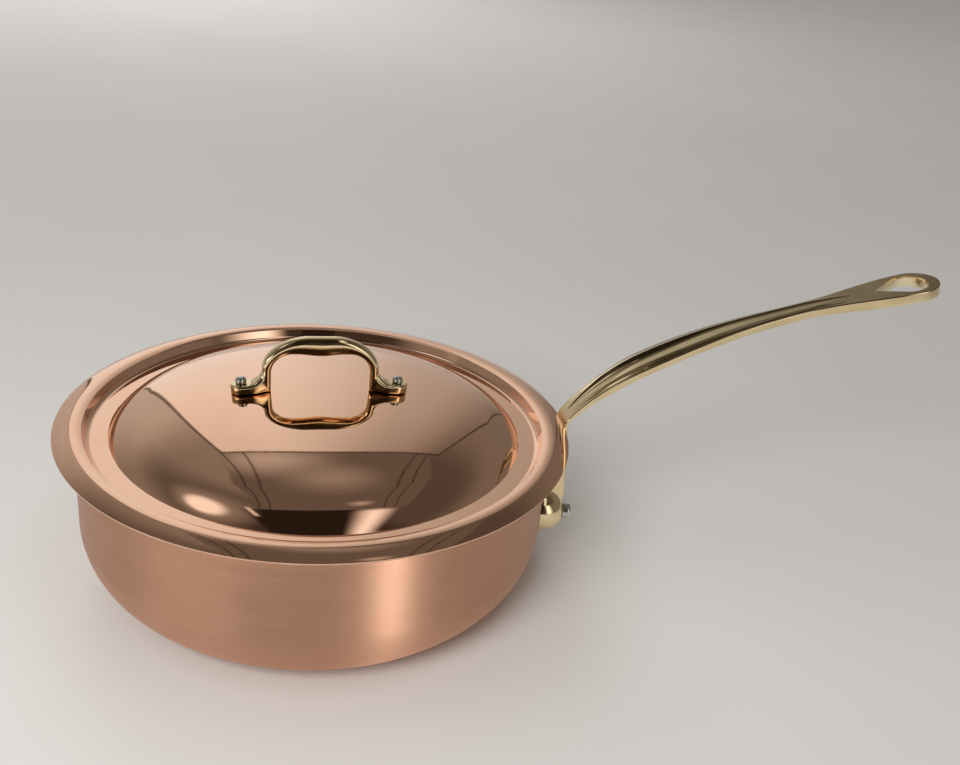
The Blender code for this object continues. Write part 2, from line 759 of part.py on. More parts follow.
def main():
    clear_scene()
    parts = collection("saute_pan")
    tools = collection("cutters")
    copper = material("copper", (0.72, 0.40, 0.27), 0.22)
    steel = material("stainless_steel", (0.60, 0.60, 0.60), 0.30)
    brass = material("brass", (0.72, 0.55, 0.28), 0.15)
    rivet_steel = material("rivet_steel", (0.38, 0.40, 0.40), 0.25)

    pan, lining, lid, lid_lining = make_shells(parts, copper, steel)
    handle = make_handle(parts, tools, brass, make_pan_tool(tools))
    loop = make_loop(parts, brass)
    make_pan_rivets(parts, tools, rivet_steel, (pan, lining, handle))
    make_lid_rivets(parts, tools, rivet_steel, (lid, lid_lining, loop))


main()
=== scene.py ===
# %% [markdown]
# # A copper saute pan with a domed lid
#
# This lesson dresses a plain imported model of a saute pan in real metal. The pan's body
# is spun copper with a satin skin, and its lid is copper too, but buffed like a mirror.
# Both handles are cast brass, and steel rivets hold them. Blender works in metres here,
# with Z up, and the middle of the pan's base is the origin.
#
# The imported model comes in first. It stays where it is, because the physics of the pan
# belongs to it. The finer pieces of this lesson are laid over it, each from the same sizes.

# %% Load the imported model
import math

import bmesh
import bpy
from mathutils import Matrix, Vector


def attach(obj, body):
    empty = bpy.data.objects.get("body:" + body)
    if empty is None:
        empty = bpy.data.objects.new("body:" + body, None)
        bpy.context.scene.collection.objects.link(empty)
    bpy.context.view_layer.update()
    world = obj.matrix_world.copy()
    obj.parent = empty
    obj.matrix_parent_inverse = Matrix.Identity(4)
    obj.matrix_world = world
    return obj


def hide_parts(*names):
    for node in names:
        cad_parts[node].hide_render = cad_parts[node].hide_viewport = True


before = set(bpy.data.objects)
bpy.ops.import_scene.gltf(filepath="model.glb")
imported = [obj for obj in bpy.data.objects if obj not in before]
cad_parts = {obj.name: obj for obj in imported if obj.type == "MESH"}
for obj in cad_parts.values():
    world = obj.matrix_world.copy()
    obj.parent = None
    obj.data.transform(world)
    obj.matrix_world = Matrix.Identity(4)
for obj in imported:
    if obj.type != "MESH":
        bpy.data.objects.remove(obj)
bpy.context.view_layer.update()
print("nodes of the packed model:", ", ".join(sorted(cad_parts)))

# %% [markdown]
# ## The camera
#
# A photo of a round pan gives its camera away. A circle seen from the side is an
# ellipse, and the sizes of the ellipses of the lid and of the base fix how far away the
# camera stood, how high, and how far it was tipped. The camera here leans 5.7 degrees to
# one side, as a camera in the hand does. Its matrix is built from three arrows: where
# the picture's right is, where its top is, and the way back from the lens.

# %% Stand the camera
CAMERA_PLACE = (-0.04566, -0.5404, 0.36877)
SENSOR_WIDTH, FOCAL_PIXELS, PICTURE_WIDTH = 36.0, 1100, 960


def add_object(name, data, finish=None):
    """Put a camera, a lamp or a mesh in the scene."""
    if finish:
        data.materials.append(finish)
    made = bpy.data.objects.new(name, data)
    bpy.context.scene.collection.objects.link(made)
    return made


heading, dip, lean = math.radians(13.93), math.radians(24.80), math.radians(5.705)
forward = Vector((
    math.sin(heading) * math.cos(dip),
    math.cos(heading) * math.cos(dip),
    -math.sin(dip),
))
level = Vector((math.cos(heading), -math.sin(heading), 0.0))
upright = level.cross(forward)
right = level * math.cos(lean) + upright * math.sin(lean)
top = upright * math.cos(lean) - level * math.sin(lean)

camera = add_object("camera", bpy.data.cameras.new("camera"))
turn = Matrix((right, top, -forward)).transposed().to_4x4()
camera.matrix_world = Matrix.Translation(CAMERA_PLACE) @ turn
camera.data.sensor_width = SENSOR_WIDTH
camera.data.lens = SENSOR_WIDTH * FOCAL_PIXELS / PICTURE_WIDTH
camera.data.clip_start = 0.01
bpy.context.scene.camera = camera
bpy.context.scene.view_settings.view_transform = "Standard"
print("lens:", round(camera.data.lens, 2), "mm")

# %% [markdown]
# ## Helpers for shader nodes
#
# Every finish below is a small network of nodes. Writing one takes many lines of adding
# a node, setting it up and linking it, so one helper does all three. A value that is a
# socket gets linked, and any other value is typed into the socket. The shorter helpers
# are for the few kinds of node that come again and again.

# %% Make the node helpers
def feed(tree, node, inputs):
    for key, value in inputs.items():
        if isinstance(value, bpy.types.NodeSocket):
            tree.links.new(value, node.inputs[key])
        else:
            node.inputs[key].default_value = value


def add_node(tree, kind, inputs=None, **settings):
    made = tree.nodes.new(kind)
    for key, value in settings.items():
        setattr(made, key, value)
    feed(tree, made, inputs or {})
    return made


def coordinate(tree, kind="Object"):
    return add_node(tree, "ShaderNodeTexCoord").outputs[kind]


def parts_of(tree, vector):
    return add_node(tree, "ShaderNodeSeparateXYZ", {0: vector}).outputs


def vector_of(tree, *values):
    return add_node(tree, "ShaderNodeCombineXYZ", dict(enumerate(values))).outputs[0]


def vector_math(tree, operation, *values):
    made = add_node(tree, "ShaderNodeVectorMath", dict(enumerate(values)), operation=operation)
    return made.outputs["Value" if operation == "LENGTH" else "Vector"]


def calculate(tree, operation, *values):
    made = add_node(tree, "ShaderNodeMath", dict(enumerate(values)), operation=operation)
    return made.outputs[0]


def fade(tree, value, low, high, to_low=0.0, to_high=1.0):
    """A smooth ramp from one value to another, flat outside its ends."""
    made = add_node(
        tree,
        "ShaderNodeMapRange",
        {"Value": value, "From Min": low, "From Max": high, "To Min": to_low, "To Max": to_high},
        interpolation_type="SMOOTHSTEP",
    )
    return made.outputs["Result"]


def noise(tree, place, scale, detail=2.0, roughness=0.5):
    made = add_node(tree, "ShaderNodeTexNoise", {
        "Vector": place, "Scale": scale, "Detail": detail, "Roughness": roughness,
    })
    return made.outputs["Fac"]


def mix_colors(tree, share, first, second):
    made = add_node(
        tree, "ShaderNodeMix", {"Factor": share, 6: first, 7: second}, data_type="RGBA"
    )
    return made.outputs[2]


def new_finish(name):
    made = bpy.data.materials.new(name)
    made.use_nodes = True
    return made, made.node_tree, made.node_tree.nodes["Principled BSDF"]


print("node helpers ready")

# %% [markdown]
# ## The studio
#
# Polished metal has next to no colour of its own to show: it shows the room. The lid is
# a shallow mirror, so the room matters more than any lamp. This one is a tent of white
# cloth, a box that is open at the front, with the pan standing under its front edge. It
# could be built of real walls, but then they would stand in the way of a camera that
# walks round the pan. So it's painted in the world shader, as brightness over direction.
#
# A flat wall is easy to paint with ratios. If the roof is one unit up, a direction meets
# it at x/z and y/z. The back wall is met at x/y and z/y. A straight edge of the tent is
# then simply a line where a ratio has one value.

# %% Give the world its directions
world = bpy.data.worlds.new("white_tent")
bpy.context.scene.world = world
world.use_nodes = True
sky = world.node_tree
sky.nodes.clear()
parts = parts_of(sky, coordinate(sky, "Generated"))
away = calculate(sky, "MAXIMUM", parts["Y"], 0.001)
up = calculate(sky, "MAXIMUM", parts["Z"], 0.001)
back_x = calculate(sky, "DIVIDE", parts["X"], away)
back_z = calculate(sky, "DIVIDE", parts["Z"], away)
roof_x = calculate(sky, "DIVIDE", parts["X"], up)
roof_y = calculate(sky, "DIVIDE", parts["Y"], up)
height = calculate(sky, "ARCSINE", parts["Z"])
bearing = calculate(sky, "ARCTAN2", parts["X"], parts["Y"])
print("directions of the world:", len(sky.nodes), "nodes")

# %% [markdown]
# Painting a brightness goes in layers, as with stencils. A stencil is a number between 0
# and 1 for every direction: two of them multiplied leave only what both let through.
# The side walls come first. They are dim cloth, and the room in front of the tent is
# nearly black. Bearings count from the back of the tent, to the right.

# %% Paint the side walls and the dark room in front
LEFT_NEAR_BACK, LEFT_NEAR_FRONT, LEFT_TOP_SHARE = 0.50, 0.24, 0.5
RIGHT_LOW, RIGHT_HIGH, DARK_ROOM = 0.19, 0.09, 0.05


def both(first, second):
    return calculate(sky, "MULTIPLY", first, second)


def between(value, low, high, soft):
    """1 between two values and 0 outside them, with soft edges."""
    start = fade(sky, value, low - soft, low + soft)
    return both(start, fade(sky, value, high - soft, high + soft, 1.0, 0.0))


def layer(below, share, level):
    """Lay a brightness over what is there, by a share."""
    made = add_node(
        sky, "ShaderNodeMix", {"Factor": share, 2: below, 3: level}, data_type="FLOAT"
    )
    return made.outputs[0]


left_angle = calculate(sky, "MULTIPLY", bearing, -1.0)
left_level = fade(
    sky, left_angle, math.radians(17), math.radians(60), LEFT_NEAR_BACK, LEFT_NEAR_FRONT
)
left_top = fade(sky, height, math.radians(24), math.radians(44), 1.0, LEFT_TOP_SHARE)
right_level = fade(sky, height, math.radians(28), math.radians(48), RIGHT_LOW, RIGHT_HIGH)
brightness = layer(both(left_level, left_top), fade(sky, bearing, -0.1, 0.1), right_level)
around = calculate(sky, "ABSOLUTE", bearing)
beyond = fade(sky, around, math.radians(118), math.radians(138))
brightness = layer(brightness, beyond, DARK_ROOM)
print("side walls from", LEFT_NEAR_FRONT, "to", LEFT_NEAR_BACK, "left and", RIGHT_LOW, "right")

# %% [markdown]
# The back wall is the bright cloth that fills the far half of the dome, brightest at its
# left. The roof is dim, with three patches where light comes through. A patch is round
# on the roof's plane, so it needs a distance on that plane and not an angle.

# %% Paint the back wall and the roof
LEFT, RIGHT, BACK = -0.27, 0.52, 0.94
WALL_LEFT, WALL_RIGHT, WALL_TOP, ROOF_LEVEL = -0.288, 0.605, 1.063, 0.13
ROOF_PATCHES = ((-0.1, 0.84, 0.3, 0.46), (0.1, 0.6, 0.25, 0.30), (0.21, 0.14, 0.09, 0.42))
cloth = calculate(
    sky, "SUBTRACT",
    fade(sky, back_x, -0.06, 0.34, 0.88, 0.46), fade(sky, back_x, 0.30, 0.62, 0.0, 0.25),
)
cloth = both(cloth, fade(sky, back_z, 0.3, 1.06, 1.0, 0.82))
back_wall = both(
    between(back_x, WALL_LEFT, WALL_RIGHT, 0.004), fade(sky, back_z, 1.055, 1.07, 1.0, 0.0)
)
brightness = layer(brightness, back_wall, cloth)
roof = both(between(roof_x, LEFT, RIGHT, 0.01), between(roof_y, 0.0, BACK, 0.01))
brightness = layer(brightness, roof, ROOF_LEVEL)


def away_from(x, y):
    """Distance on the roof's plane from one spot of it."""
    along, across = calculate(sky, "SUBTRACT", roof_x, x), calculate(sky, "SUBTRACT", roof_y, y)
    return vector_math(sky, "LENGTH", vector_of(sky, along, across))


for x, y, size, level in ROOF_PATCHES:
    patch = both(roof, fade(sky, away_from(x, y), 0.0, size, 1.0, 0.0))
    brightness = layer(brightness, patch, level)
print("roof:", ROOF_LEVEL, "bright, with", len(ROOF_PATCHES), "patches")

# %% [markdown]
# Over the front edge of the roof the tent is open, which gives the dark band low on the
# dome. Three lights stand beside it: a strip on the right, a thin edge on the left, and
# a round glow further left, with a dim halo about it.

# %% Paint the opening and the lights
OPENING, STRIP, EDGE, HALO, GLOW = 0.02, 1.1, 0.75, 0.30, 1.05
opening = both(between(roof_x, -0.42, 0.22, 0.03), fade(sky, roof_y, -0.015, 0.0, 1.0, 0.0))
brightness = layer(brightness, opening, OPENING)
strip = both(between(roof_x, 0.24, 0.40, 0.09), between(roof_y, -1.0, -0.03, 0.05))
brightness = layer(brightness, strip, STRIP)
edge_light = both(between(roof_x, -0.385, -0.35, 0.012), between(roof_y, -0.17, 0.02, 0.03))
brightness = layer(brightness, edge_light, EDGE)
glow = away_from(-0.76, 0.02)
brightness = layer(brightness, fade(sky, glow, 0.15, 0.5, 1.0, 0.0), HALO)
brightness = layer(brightness, fade(sky, glow, 0.13, 0.27, 1.0, 0.0), GLOW)
print("lights round the opening:", STRIP, EDGE, GLOW)

# %% [markdown]
# The upright wall of the pan reflects what stands behind the lens. Two broad lights are
# there, one each side. They are meant for the metal and would bleach the floor, so they
# count for glossy rays only.

# %% Stand two lights beside the lens
PANEL, SIDE_STRIP = 1.4, 2.2
panel_width = both(
    fade(sky, bearing, math.radians(126), math.radians(152)),
    fade(sky, bearing, math.radians(153), math.radians(167), 1.0, 0.0),
)
panel_rise = between(height, math.radians(-2), math.radians(42), math.radians(4))
paths = add_node(sky, "ShaderNodeLightPath").outputs
panel_share = both(both(panel_width, panel_rise), paths["Is Glossy Ray"])
brightness = layer(brightness, panel_share, PANEL)
left_strip = both(
    between(bearing, math.radians(-142), math.radians(-100), math.radians(6)),
    between(height, math.radians(5), math.radians(16), math.radians(3)),
)
brightness = layer(brightness, both(left_strip, paths["Is Glossy Ray"]), SIDE_STRIP)
print("lights beside the lens:", PANEL, SIDE_STRIP)

# %% [markdown]
# The seams of the tent are thin dark lines, and they give the mirror of the dome its
# scale. The seams of the walls are straight. The roof's cloth sags, so its folds are
# curved: the place of the line moves with the square of the distance from its middle.

# %% Sew the seams
SEAM_DARK = 0.03
ROOF_FOLDS = (
    (-0.219, -0.30, 0.5), (-0.160, -0.20, 0.6), (0.333, 0.28, 0.27), (0.40, 0.28, 0.3),
)


def seam(value, at, width, span):
    """A dark line where a ratio has one value, as far as a span."""
    return both(between(value, at - width, at + width, width * 0.7), span)


low_part = fade(sky, back_z, 1.05, 1.08, 1.0, 0.0)
roof_part = between(roof_y, 0.0, BACK, 0.01)
wall_part = between(back_x, -0.29, 0.61, 0.004)
for line in (
    seam(back_x, WALL_LEFT, 0.007, low_part),
    seam(back_x, WALL_RIGHT, 0.007, low_part),
    seam(back_z, WALL_TOP, 0.012, wall_part),
):
    brightness = layer(brightness, calculate(sky, "MULTIPLY", line, 0.8), SEAM_DARK)
for at, sag, middle in ROOF_FOLDS:
    from_middle = calculate(sky, "SUBTRACT", roof_y, middle)
    hang = calculate(sky, "MULTIPLY", both(from_middle, from_middle), sag)
    line = seam(calculate(sky, "SUBTRACT", roof_x, hang), at, 0.005, roof_part)
    brightness = layer(brightness, calculate(sky, "MULTIPLY", line, 0.7), SEAM_DARK)
print("world layers:", len(sky.nodes), "nodes")

# %% [markdown]
# Cloth that gets little light gets it from the other walls and from the copper, so it's
# a little warmer than bright cloth. A power above one does that to green and blue: it
# leaves a bright value alone and lowers a dark one. The camera itself sees no tent: its
# rays get a plain pale tone.

# %% Light the world, and show a plain backdrop to the camera
GREEN_POWER, BLUE_POWER = 1.07, 1.14
tent = add_node(sky, "ShaderNodeCombineColor", {
    "Red": brightness,
    "Green": calculate(sky, "POWER", brightness, GREEN_POWER),
    "Blue": calculate(sky, "POWER", brightness, BLUE_POWER),
}).outputs[0]
backdrop = add_node(sky, "ShaderNodeBackground", {"Color": (0.50, 0.49, 0.46, 1.0)})
tent_light = add_node(sky, "ShaderNodeBackground", {"Color": tent, "Strength": 1.0})
shown = add_node(sky, "ShaderNodeMixShader", {
    0: paths["Is Camera Ray"],
    1: tent_light.outputs[0],
    2: backdrop.outputs[0],
})
add_node(sky, "ShaderNodeOutputWorld", {"Surface": shown.outputs[0]})
print("world:", world.name, "with", len(sky.nodes), "nodes")

# %% [markdown]
# The floor is a plain pale sheet. A sheet of paper isn't perfectly even, so a slow noise
# moves its brightness by a few hundredths. It's marked as stage, because it isn't part
# of the pan.

# %% Lay the floor
FLOOR_HALF, FLOOR_DROP = 10.0, 0.0003


def object_from(shape, name, finish=None):
    """Make an object of a bmesh, and free the bmesh."""
    mesh = bpy.data.meshes.new(name)
    shape.to_mesh(mesh)
    shape.free()
    return add_object(name, mesh, finish)


floor_finish, paper, paper_shader = new_finish("pale_paper")
cloud = noise(paper, coordinate(paper), 3.0, 3.0)
tone = mix_colors(paper, cloud, (0.665, 0.65, 0.625, 1.0), (0.73, 0.715, 0.69, 1.0))
feed(paper, paper_shader, {"Base Color": tone, "Roughness": 0.6})

sheet = bmesh.new()
bmesh.ops.create_grid(sheet, x_segments=8, y_segments=8, size=FLOOR_HALF)
floor = object_from(sheet, "floor", floor_finish)
floor.location.z = -FLOOR_DROP
print("floor made,", 2 * FLOOR_HALF, "m square")

# %% [markdown]
# The tent shows itself in the metal. The lamps light the paper, and the metal doesn't
# see them. A wide sun stands for the light that falls through the roof: it lights the
# whole floor evenly and gives the soft dark edge under the pan. A lamp in front on the
# left makes the floor darker to the right, and one behind the pan lifts the far floor.

# %% Hang the lamps
def add_lamp(name, kind, place, target, energy):
    data = bpy.data.lights.new(name, kind)
    data.energy = energy
    lamp = add_object(name, data)
    lamp.location = place
    aim = Vector(target) - Vector(place)
    lamp.rotation_euler = aim.to_track_quat("-Z", "Y").to_euler()
    return lamp


roof_light = add_lamp("roof_light", "SUN", (-0.2, -0.1, 1.5), (0.0, 0.0, 0.0), 0.75)
roof_light.data.angle = math.radians(70)
left_light = add_lamp("left_light", "AREA", (-0.55, -0.95, 0.8), (-0.2, -0.3, 0.0), 14.0)
left_light.data.shape = "RECTANGLE"
left_light.data.size, left_light.data.size_y = 0.6, 0.6
far_light = add_lamp("far_light", "AREA", (-0.4, 2.9, 1.6), (-0.4, 2.6, 0.0), 22.0)
far_light.data.size = 1.6
for lamp in (roof_light, left_light, far_light):
    lamp.visible_glossy = False

# %% [markdown]
# ## Finishes
#
# Copper, brass and steel are all metals, so their colour is the colour of their
# reflections. What tells a spun satin wall from a buffed dome is roughness, and the fine
# lines that the tool left. Those lines run round the pan's axis. Noise that is stretched
# along them would need the angle round the pan, which jumps where it closes. Instead the
# noise is read at a place that moves fast with the distance along the pan's section and
# slowly with X and Y, so the lines go all the way round with no seam. The same lines
# smear a highlight across themselves. For that the shader has anisotropy, and the way
# round the pan is the cross product of its axis and the place.

# %% Make the lines of spinning
def spun_place(tree, along_z, fine):
    """The place on the piece, and the same place squeezed along the spun lines."""
    place = coordinate(tree)
    xyz = parts_of(tree, place)
    radius = vector_math(tree, "LENGTH", vector_of(tree, xyz["X"], xyz["Y"], 0.0))
    along = calculate(tree, "ADD", radius, calculate(tree, "MULTIPLY", xyz["Z"], along_z))
    return place, vector_of(
        tree,
        calculate(tree, "MULTIPLY", xyz["X"], 9.0),
        calculate(tree, "MULTIPLY", xyz["Y"], 9.0),
        calculate(tree, "MULTIPLY", along, fine),
    )


def worn_edges(tree):
    """High where the surface turns outward sharply, as a hand rubs an edge bare."""
    pointed = add_node(tree, "ShaderNodeNewGeometry").outputs["Pointiness"]
    edge = fade(tree, pointed, 0.53, 0.60, 0.0, 0.8)
    patches = fade(tree, noise(tree, coordinate(tree), 60.0), 0.3, 0.6, 0.3, 1.0)
    return calculate(tree, "MULTIPLY", edge, patches)


print("helpers for the finishes ready")

# %% [markdown]
# Clean copper is a pale salmon pink, and each time that its light is reflected it gets
# redder. The pan and the lid are the same metal, so one function makes both. It has slow
# clouds of two tones, the spun lines, faint scuffs, and bare bright metal where an edge
# is worn. The wall is rough and keeps its lines, and the lid is nearly a mirror.

# %% Make the copper
SPUN_FINE, COPPER_BUMP = 1400.0, 0.00002
SCUFF_STRETCH, QUARTER_TURN = (60.0, 60.0, 260.0), 0.25


def copper(name, bright, deep, worn, rough, line_depth, along_z, anisotropy):
    """Spun copper: two tones in slow clouds, lines round the axis, and fine wear."""
    made, tree, shader = new_finish(name)
    place, spot = spun_place(tree, along_z, SPUN_FINE)
    lines = noise(tree, spot, 1.0, 4.0, 0.65)
    clouds = noise(tree, place, 14.0, 4.0, 0.6)
    marks = noise(tree, place, 420.0, 5.0, 0.7)
    scuffs = noise(tree, vector_math(tree, "MULTIPLY", place, SCUFF_STRETCH), 1.0, 6.0, 0.75)
    shade = calculate(
        tree, "ADD",
        fade(tree, clouds, 0.35, 0.68, 0.0, 0.6), fade(tree, lines, 0.4, 0.75, 0.0, 0.3),
    )
    shade = calculate(tree, "ADD", shade, fade(tree, scuffs, 0.68, 0.76, 0.0, 0.5))
    tone = mix_colors(tree, worn_edges(tree), mix_colors(tree, shade, bright, deep), worn)
    smear = calculate(
        tree, "ADD",
        fade(tree, lines, 0.3, 0.7, rough[0], rough[1]),
        fade(tree, marks, 0.55, 0.8, 0.0, rough[1] * 0.25),
    )
    bump = add_node(tree, "ShaderNodeBump", {
        "Strength": line_depth, "Distance": COPPER_BUMP,
        "Height": calculate(tree, "ADD", lines, calculate(tree, "MULTIPLY", marks, 0.25)),
    })
    feed(tree, shader, {
        "Base Color": tone, "Metallic": 1.0, "Roughness": smear, "Normal": bump.outputs[0],
        "Anisotropic": anisotropy, "Anisotropic Rotation": QUARTER_TURN,
        "Tangent": vector_math(tree, "CROSS_PRODUCT", (0.0, 0.0, 1.0), place),
    })
    return made


satin_copper = copper(
    "satin_copper", (0.69, 0.395, 0.265, 1.0), (0.62, 0.34, 0.22, 1.0), (0.80, 0.52, 0.38, 1.0),
    (0.38, 0.46), 0.25, 1.0, 0.9,
)
mirror_copper = copper(
    "mirror_copper", (0.94, 0.60, 0.42, 1.0), (0.91, 0.56, 0.38, 1.0), (0.97, 0.72, 0.56, 1.0),
    (0.02, 0.05), 0.012, -0.3, 0.0,
)
print("copper finishes:", satin_copper.name, mirror_copper.name)

# %% [markdown]
# Brass is cast, filed and buffed by hand. Buffing leaves a nearly smooth skin with soft
# waves from the casting, and very fine lines along the handle. Steel for the rivets and
# the linings is greyer and a little rougher. The top of the long handle gets a painted
# dark reflection: a dark brown laid on its upward faces, in place of the dark things
# that its top would reflect. Its rims don't look up, so they keep the brass, and they
# are rubbed bright as every sharp edge is.

# %% Find where the painted dark reflection lies
def painted_reflection_share(tree, place, start):
    """Share of the painted dark reflection: high on faces that look up, from a distance along X
    on.
    """
    upward = parts_of(tree, coordinate(tree, "Normal"))["Z"]
    along = parts_of(tree, place)["X"]
    share = calculate(
        tree, "MULTIPLY", fade(tree, upward, 0.55, 0.85), fade(tree, along, start, start + 0.04)
    )
    patches = fade(tree, noise(tree, place, 35.0, 4.0), 0.3, 0.65, 1.0, 0.78)
    return calculate(tree, "MULTIPLY", share, patches)


# Where the painted dark reflection on the handle's top begins, along X.
PAINTED_REFLECTION_START = 0.150
print("film from", PAINTED_REFLECTION_START, "m outward along the arm")

# %% [markdown]
# The loop and the long handle share one look, and the painted dark reflection on the
# handle's top is the only thing between them. The rivets' steel is made the same way.
# The linings are spun like the copper, so their steel comes from the copper's function,
# in grey.

# %% Make the brass and the steels
def buffed(name, bright, deep, worn, rough, wave, stretch, painted_reflection=None):
    """A cast and buffed metal: slow tone, soft waves, and fine lines along one way."""
    made, tree, shader = new_finish(name)
    place = coordinate(tree)
    clouds = noise(tree, place, 45.0, 3.0)
    lines = noise(tree, vector_math(tree, "MULTIPLY", place, stretch), 1.0, 5.0, 0.7)
    waves = noise(tree, place, 130.0, 1.0)
    tone = mix_colors(tree, fade(tree, clouds, 0.35, 0.65), bright, deep)
    # Painted dark reflection: a dark brown on the upward faces, standing in for dark surroundings
    # seen in the metal.
    if painted_reflection:
        tone = mix_colors(tree, painted_reflection_share(tree, place, PAINTED_REFLECTION_START), tone, painted_reflection)
    tone = mix_colors(tree, worn_edges(tree), tone, worn)
    bump = add_node(tree, "ShaderNodeBump", {
        "Strength": 0.3, "Distance": wave,
        "Height": calculate(tree, "ADD", waves, calculate(tree, "MULTIPLY", lines, 0.08)),
    })
    feed(tree, shader, {
        "Base Color": tone, "Metallic": 1.0, "Normal": bump.outputs[0],
        "Roughness": fade(tree, lines, 0.35, 0.7, rough[0], rough[1]),
    })
    return made


brass_look = (
    (0.88, 0.72, 0.44, 1.0), (0.80, 0.64, 0.37, 1.0), (0.95, 0.84, 0.60, 1.0),
    (0.05, 0.11), 0.00008, (90.0, 900.0, 900.0),
)
cast_brass = buffed("cast_brass", *brass_look)
# The handle's brass carries the painted dark reflection on its top.
arm_brass = buffed("arm_brass", *brass_look, painted_reflection=(0.37, 0.295, 0.16, 1.0))
rivet_steel = buffed(
    "rivet_steel", (0.60, 0.62, 0.57, 1.0), (0.50, 0.52, 0.47, 1.0), (0.70, 0.71, 0.67, 1.0),
    (0.24, 0.34), 0.00002, (500.0, 500.0, 500.0),
)
lining_steel = copper(
    "lining_steel", (0.62, 0.61, 0.59, 1.0), (0.55, 0.54, 0.53, 1.0), (0.70, 0.70, 0.68, 1.0),
    (0.22, 0.34), 0.2, 1.0, 0.4,
)
for finish in (cast_brass, arm_brass, rivet_steel, lining_steel):
    print("finish:", finish.name)

# %% [markdown]
# ## The pan's body
#
# A spun pan is a disc of copper pressed over a turning block. Its shape is one line, the
# section, turned about the axis, and that is what the Screw modifier does. The section
# has a flat base, a wide corner of 41 mm, an upright wall, and a small lip that leans
# out for the lid to rest on. The copper is 2 mm thick, so the inner line is the outer
# one moved inward, square to itself.

# %% Draw the section of the pan
MM = 0.001
PAN_RADIUS, RIM_HEIGHT, BASE_CORNER = 126.8 * MM, 90.0 * MM, 41.0 * MM
PAN_COPPER, PAN_STEEL, GAP = 2.0 * MM, 0.6 * MM, 0.3 * MM
PAN_SHEET = PAN_COPPER + GAP + PAN_STEEL
LIP_BEND, LIP_RADIUS, LIP_DEGREES = 5.0 * MM, 132.2 * MM, 19
LIP_SLOPE = math.radians(LIP_DEGREES)


def arc(center, radius, start, end, steps):
    points = []
    for i in range(steps + 1):
        angle = math.radians(start + (end - start) * i / steps)
        points.append((center[0] + radius * math.cos(angle), center[1] + radius * math.sin(angle)))
    return points


def moved_line(points, distance):
    """The line moved to its left, with mitred corners."""
    moved = []
    for i, here in enumerate(points):
        normals = []
        for a, b in ((points[max(i - 1, 0)], here), (here, points[min(i + 1, len(points) - 1)])):
            step = Vector(b) - Vector(a)
            if step.length > 0:
                normals.append(Vector((-step.y, step.x)).normalized())
        total = sum(normals, Vector((0.0, 0.0)))
        reach = distance * len(normals) / total.length_squared
        moved.append(tuple(Vector(here) + total * reach))
    return moved


def pan_line():
    bend_x = PAN_RADIUS + LIP_BEND - LIP_BEND * math.sin(LIP_SLOPE)
    rise = LIP_BEND * math.cos(LIP_SLOPE) + (LIP_RADIUS - bend_x) * math.tan(LIP_SLOPE)
    bend_z = RIM_HEIGHT - rise - PAN_SHEET * math.cos(LIP_SLOPE)
    line = [(0.0, 0.0)]
    line += arc((PAN_RADIUS - BASE_CORNER, BASE_CORNER), BASE_CORNER, -90, 0, 32)
    line += arc((PAN_RADIUS + LIP_BEND, bend_z), LIP_BEND, 180, 90 + LIP_DEGREES, 14)
    edge_z = line[-1][1] + (LIP_RADIUS - line[-1][0]) * math.tan(LIP_SLOPE)
    return line + [(LIP_RADIUS, edge_z)]


outside = pan_line()
print("pan section:", len(outside), "points, rim at", round(outside[-1][1] / MM, 2), "mm")

# %% [markdown]
# A spun edge is never razor sharp, so the corners of the section get a fine bevel after
# the turn. Weighted normals then keep the flat faces flat in the light.

# %% Turn the section into metal
SHARP_FROM, JOIN_WITHIN = math.radians(24), 0.00001


def turned_shape(name, outline, steps, finish=None):
    mesh = bpy.data.meshes.new(name)
    corners = [(max(x, 0.0), 0.0, z) for x, z in outline]
    mesh.from_pydata(corners, [(i, i + 1) for i in range(len(corners) - 1)], [])
    made = add_object(name, mesh, finish)
    screw = made.modifiers.new("turn", "SCREW")
    screw.steps = screw.render_steps = steps
    screw.use_merge_vertices = True
    screw.merge_threshold = JOIN_WITHIN
    screw.use_smooth_shade = True
    return made


def add_bevel(made, width, segments, angle):
    edges = made.modifiers.new("broken_edges", "BEVEL")
    edges.width = width
    edges.segments = segments
    edges.limit_method = "ANGLE"
    edges.angle_limit = angle


def belongs(made, body, node):
    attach(made, body)
    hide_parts(node)
    return made


def turned(name, outline, finish, body, node, bevel=0.35 * MM, steps=256):
    """A piece turned about Z, with its sharp corners broken by a fine bevel."""
    made = turned_shape(name, outline, steps, finish)
    add_bevel(made, bevel, 3, SHARP_FROM)
    made.modifiers.new("even_shine", "WEIGHTED_NORMAL")
    return belongs(made, body, node)


pan_copper = turned(
    "pan_copper_wall", moved_line(outside, PAN_COPPER) + outside[::-1],
    satin_copper, "pan", "pan_body",
)
pan_steel = turned(
    "pan_steel_skin",
    moved_line(outside, PAN_SHEET) + moved_line(outside, PAN_COPPER + GAP)[::-1],
    lining_steel, "pan", "pan_lining", bevel=0.2 * MM,
)
print("pan turned:", pan_copper.name, pan_steel.name)

# %% [markdown]
# A satin wall smears a light into an upright streak. A light that is bright enough to
# make it would be a blank white patch in a mirror and would bleach the floor. So the
# lamp for the streak is linked to the satin wall alone.

# %% Light the streak on the wall
streak_light = add_lamp("streak_light", "AREA", (0.64, -1.24, 0.10), (0.04, -0.12, 0.06), 6.0)
streak_light.data.shape = "RECTANGLE"
streak_light.data.size, streak_light.data.size_y = 0.26, 0.5
satin_only = bpy.data.collections.new("satin_only")
satin_only.objects.link(pan_copper)
streak_light.light_linking.receiver_collection = satin_only
print("streak light at", tuple(round(v, 2) for v in streak_light.location))

# %% [markdown]
# ## The lid
#
# The lid's section has more to it. From the middle out come a shallow dome, a steep
# rounded shoulder, a channel that drops inside the pan's mouth, a ring that rests on the
# lip, a ridge, and a band that turns down over the edge of the pan.

